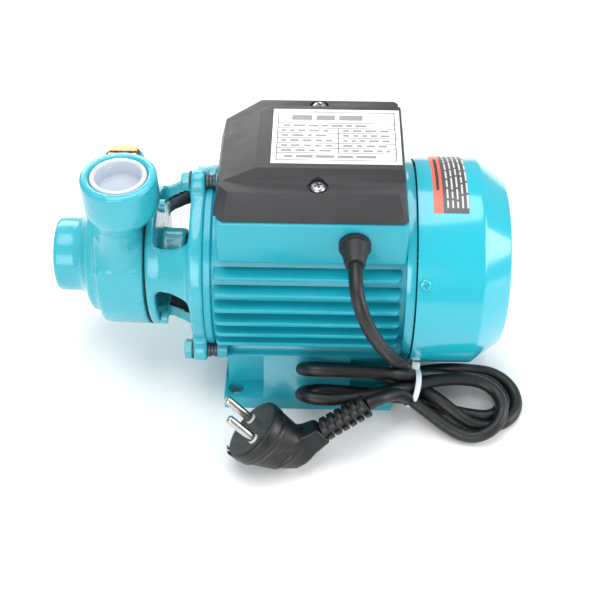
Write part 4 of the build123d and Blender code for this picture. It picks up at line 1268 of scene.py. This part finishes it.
def wrapped(name, patches, radius, thick, finish):
    # patches (x0, x1, angle0, angle1) laid on the cover, angle 0 to the front and 90 up
    meshes = []
    for x0, x1, a0, a1 in patches:
        steps = max(2, int(abs(a1 - a0) / 1.5))
        points, faces = [], []
        for k in range(steps + 1):
            a = math.radians(a0 + (a1 - a0) * k / steps)
            for r in (radius - 0.05, radius + thick):
                for x in (x0, x1):
                    points.append((x, -r * math.cos(a), shaftZ + r * math.sin(a)))
        for k in range(steps):
            b = 4 * k
            faces += [(b, b + 4, b + 5, b + 1), (b + 2, b + 3, b + 7, b + 6), (b, b + 2, b + 6, b + 4),
                      (b + 1, b + 5, b + 7, b + 3)]
        faces += [(0, 1, 3, 2), (4 * steps, 4 * steps + 2, 4 * steps + 3, 4 * steps + 1)]
        meshes.append(meshFrom("patch", points, faces))
    piece = newPiece(name, joined(name, meshes, outward=True), finish)
    crisp(piece.data, 35)
    return piece


def makeSticker():
    size = sticker
    (x0, x1), (a0, a1) = size["x"], size["angles"]
    radius, thick = size["radius"], size["thick"]
    band = wrapped("stickerBand", [(x0, size["band"], a0, a1)], radius, thick, "labelOrange")
    settle(band, "pump_body", "label_orange", "info_sticker")
    panel = wrapped("stickerPanel", [(size["band"], x1, a0, a1)], radius, thick, "labelDark")
    settle(panel, "pump_body", "label_orange")
    chance = random.Random(size["seed"])
    bars = []
    for row in range(5):
        x = size["band"] + 2.0 + row * 2.6
        a = a0 + 3.0
        while a < a1 - 6.0:
            run = min(chance.uniform(3.0, 9.0), a1 - 3.0 - a)
            bars.append((x, x + 0.9, a, a + run))
            a += run + 1.4
    head = [(x0 + 1.8, x0 + 3.4, a0 + 14, a1 - 12)]
    text = wrapped("stickerWords", bars, radius + thick, 0.05, "printPale")
    settle(text, "pump_body", "label_orange")
    title = wrapped("stickerTitle", head, radius + thick, 0.05, "printBlack")
    settle(title, "pump_body", "label_orange")


makeCasingScrews()
makeFanCoverScrews()
makePlate()
makeSticker()
print("screws, rating plate and sticker made")


# plug: right-angle body with a round pin face, in its own frame (along the cord, across, along the pins)
plug = {
    "face": (-29.0, -95.0, 25.8), "lead": (0.720, 0.307, 0.622), "pins": (-0.680, 0.150, 0.717),
    "faceRadius": 18.0, "faceDepth": 9.0, "cell": 0.7, "pinSpacing": 19.0, "pinRadius": 2.4, "pinLength": 19.0,
    # back of the body: from depth, to depth, (centre, half along, half across) at each, blend
    "tapers": ((-24.0, -9.0, (4.0, 13.6, 11.6), (0.5, 17.0, 16.6), 1.2),
               (-33.0, -23.0, (8.0, 9.6, 8.4), (4.0, 13.4, 11.4), 1.6)),
    "sleeve": ((24.0, -28.5), (53.0, -34.0)), "sleeveRadius": 5.0, "ribRadius": 6.5, "ribs": 6,
}


def plugTurn():
    z = Vector(plug["pins"]).normalized()
    x = Vector(plug["lead"])
    x = (x - z * x.dot(z)).normalized()
    y = z.cross(x)
    turn = Matrix((x, y, z)).transposed().to_4x4()
    return Matrix.Translation(Vector(plug["face"]) * mm) @ turn


def stretchedCone(p, w0, w1, shape0, shape1):
    # ellipse section running from shape0 to shape1, each (centre, half along, half across)
    t = np.clip((p[2] - w0) / (w1 - w0), 0, 1)
    mixed = [a + (b - a) * t for a, b in zip(shape0, shape1)]
    radial = (np.hypot((p[0] - mixed[0]) / mixed[1], p[1] / mixed[2]) - 1) * np.minimum(mixed[1], mixed[2])
    return capped(radial, np.abs(p[2] - (w0 + w1) / 2) - abs(w1 - w0) / 2, 0.8)


def plugField(p):
    size = plug
    body = capped(np.hypot(p[0], p[1]) - size["faceRadius"], np.abs(p[2] + size["faceDepth"] / 2)
                  - size["faceDepth"] / 2, 1.2)
    for w0, w1, shape0, shape1, blend in size["tapers"]:
        body = join(body, stretchedCone(p, w0, w1, shape0, shape1), blend)
    t = np.clip((p[0] - 6.0) / 19.5, 0, 1)
    across, depth, middleW = 9.5 - 3.5 * t, 7.5 - 2.0 * t, -24.0 - 4.5 * t
    sides = np.maximum(np.abs(p[1]) - across, np.abs(p[2] - middleW) - depth)
    arm = capped(sides, np.abs(p[0] - 15.75) - 9.9, 1.4)
    body = join(body, arm, 2.2)
    rim = np.hypot(np.hypot(p[0], p[1]) - size["faceRadius"], p[2] + 7.4) - 0.9
    body = cut(body, rim, 0.5)
    for side in (-1, 1):
        for step in range(4):
            grip = np.hypot(p[1] - side * (15.4 - 1.15 * step), p[2] + 12.0 + 3.0 * step) - 1.1
            body = cut(body, np.maximum(grip, np.abs(p[0] - 3.0) - 9.0), 0.6)
        hole = np.hypot(p[0], p[1] - side * size["pinSpacing"] / 2) - 2.42
        body = cut(body, np.maximum(hole, -p[2] - 2.4), 0.1)
    return body


def makePlug():
    size = plug
    place = plugTurn()
    low, high = (-20.0, -20.0, -35.0), (28.0, 20.0, 2.0)
    points = gridOf(low, high, size["cell"])
    mesh = skinned("plugBody", softenField(plugField(points), 1), low, size["cell"])
    mesh.transform(place)
    body = newPiece("plugBody", mesh, "plugPlastic")
    crisp(body.data, 50)
    settle(body, "pump_body", "plug_plastic", "plug_body")
    pins, collars = [], []
    radius, tip = size["pinRadius"], size["pinLength"]
    pinLine = roundedProfile([(-2.0, 0), (-2.0, radius), (tip, radius), (tip, 0)], [0, 0, 1.7, 0])
    collarLine = [(-1.0, 0), (-1.0, radius + 0.5), (0.5, radius + 0.5), (0.9, radius + 0.1), (0.9, 0)]
    for side in (-1, 1):
        root = (0, side * size["pinSpacing"] / 2, 0)
        pins.append(turnedMesh("pin", pinLine, root, "Z", 40))
        collars.append(turnedMesh("collar", collarLine, root, "Z", 40))
    for name, meshes, finish, replaced in (("plugPins", pins, "nickel", ["plug_pins"]),
                                           ("pinCollars", collars, "printPale", [])):
        mesh = joined(name, meshes)
        mesh.transform(place)
        piece = newPiece(name, mesh, finish)
        crisp(piece.data, 50)
        settle(piece, "pump_body", "nickel", *replaced)
    clip = prism("earthClip", [(-4.0, -3.8), (4.0, -3.8), (4.0, 3.8), (0.7, 3.8), (0.7, -1.0), (-0.7, -1.0),
                               (-0.7, 3.8), (-4.0, 3.8)], -0.3, 0.3, "X")
    clip.transform(place @ Matrix.Translation(Vector((-18.4, 0, -3.4)) * mm))
    piece = newPiece("earthClip", clip, "nickel")
    bevelled(piece, 0.12, 40, 2)
    crisp(piece.data, 40)
    settle(piece, "pump_body", "nickel", "plug_clip")


def halfRing(x0, x1, outer, inner, gap, turn):
    # two arcs of a flange with gaps between them, as a bend relief has
    meshes = []
    for side in (0, 180):
        points, faces = [], []
        steps = 14
        for k in range(steps + 1):
            a = math.radians(turn + side + gap / 2 + (180 - gap) * k / steps)
            for x, r in ((x0, inner), (x0, outer), (x1, outer), (x1, inner)):
                points.append((r * math.cos(a), r * math.sin(a), x))
        for k in range(steps):
            b = 4 * k
            faces += [(b + i, b + (i + 1) % 4, b + 4 + (i + 1) % 4, b + 4 + i) for i in range(4)]
        faces += [(3, 2, 1, 0), (4 * steps, 4 * steps + 1, 4 * steps + 2, 4 * steps + 3)]
        meshes.append(meshFrom("arc", points, faces))
    return joined("halfRing", meshes, outward=True)


def makeSleeve():
    size = plug
    (u0, w0), (u1, w1) = size["sleeve"]
    start, finish = Vector((u0 + 1.6, 0, w0)), Vector((u1, 0, w1))
    run = finish - start
    place = plugTurn()
    turn = Vector((0, 0, 1)).rotation_difference(run).to_matrix().to_4x4()
    profile = roundedProfile([(0, 0), (0, size["sleeveRadius"]), (run.length, size["sleeveRadius"] - 0.7),
                              (run.length, 0)], [0, 0, 0.8, 0])
    core = turnedMesh("plugSleeve", profile, (0, 0, 0), "Z", 48)
    core.transform(place @ Matrix.Translation(start * mm) @ turn)
    piece = newPiece("plugSleeve", core, "plugPlastic")
    crisp(piece.data, 40)
    settle(piece, "pump_body", "plug_plastic", "plug_sleeve")
    pitch = run / size["ribs"]
    rib = halfRing(-1.5, 1.5, size["ribRadius"], size["sleeveRadius"] - 1.2, 30, 90)
    rib.transform((place @ turn).to_3x3().to_4x4())
    first = place @ ((start + pitch * 0.55) * mm) / mm
    step = place.to_3x3() @ pitch
    ribs = inRow("sleeveRibs", rib, tuple(first), tuple(step), size["ribs"], "plugPlastic")
    bevelled(ribs, 0.3, 40, 2)
    crisp(ribs.data, 40)
    settle(ribs, "pump_body", "plug_plastic")


# nylon tie: thin ribbed strap round the lead and a square head
tie = {
    "middle": (58.8, -53.6, 14.0), "way": (0.96, 0.05, -0.28), "half": (12.2, 11.4), "thick": 1.0,
    "wide": 3.2, "head": (60.2, -48.6, 25.2), "headSize": (4.8, 5.8, 4.2), "teeth": 96,
}


def makeTie():
    size = tie
    z = Vector(size["way"]).normalized()
    x = Vector((0, 1, 0)).cross(z).normalized()
    y = z.cross(x)
    place = Matrix.Translation(Vector(size["middle"]) * mm) @ Matrix((x, y, z)).transposed().to_4x4()
    points, faces = [], []
    a, b = size["half"]
    for k in range(size["teeth"]):
        t = 2 * math.pi * k / size["teeth"]
        ridge = 0.12 if k % 2 else 0.0
        for along, grow in ((-1, -size["thick"]), (-1, -0.2 + ridge), (-0.8, ridge), (0.8, ridge),
                            (1, -0.2 + ridge), (1, -size["thick"])):
            points.append(((a + grow) * math.cos(t), (b + grow) * math.sin(t), along * size["wide"] / 2))
    for k in range(size["teeth"]):
        here, following = 6 * k, 6 * ((k + 1) % size["teeth"])
        faces += [(here + i, here + (i + 1) % 6, following + (i + 1) % 6, following + i) for i in range(6)]
    strap = meshFrom("strap", points, faces)
    strap.transform(place)
    hx, hy, hz = [v / 2 for v in size["headSize"]]
    head = prism("tieHead", [(-hx, -hy), (hx, -hy), (hx, hy), (-hx, hy)], -hz, hz)
    slope = Matrix.Rotation(math.radians(15), 4, "Y") @ Matrix.Rotation(math.radians(40), 4, "X")
    head.transform(Matrix.Translation(Vector(size["head"]) * mm) @ slope)
    piece = newPiece("cableTie", joined("cableTie", [strap, head], outward=True), "nylon")
    bevelled(piece, 0.35, 60, 2)
    crisp(piece.data, 40)
    settle(piece, "pump_body", "nylon", "cable_tie")


makePlug()
makeSleeve()
makeTie()
print("plug, sleeve and tie made")


# floor
def makeFloor():
    half = ground["size"] / 2
    corners = [(-half, -half, 0), (half, -half, 0), (half, half, 0), (-half, half, 0)]
    floor = bpy.data.objects.new("floor", meshFrom("floor", corners, [(0, 1, 2, 3)]))
    scene.collection.objects.link(floor)
    material = bpy.data.materials.new("floor")
    material.use_nodes = True
    shader = material.node_tree.nodes["Principled BSDF"]
    shader.inputs["Base Color"].default_value = (*ground["colour"], 1)
    shader.inputs["Roughness"].default_value = 0.9
    shader.inputs["Specular IOR Level"].default_value = 0.1
    floor.data.materials.append(material)


makeFloor()
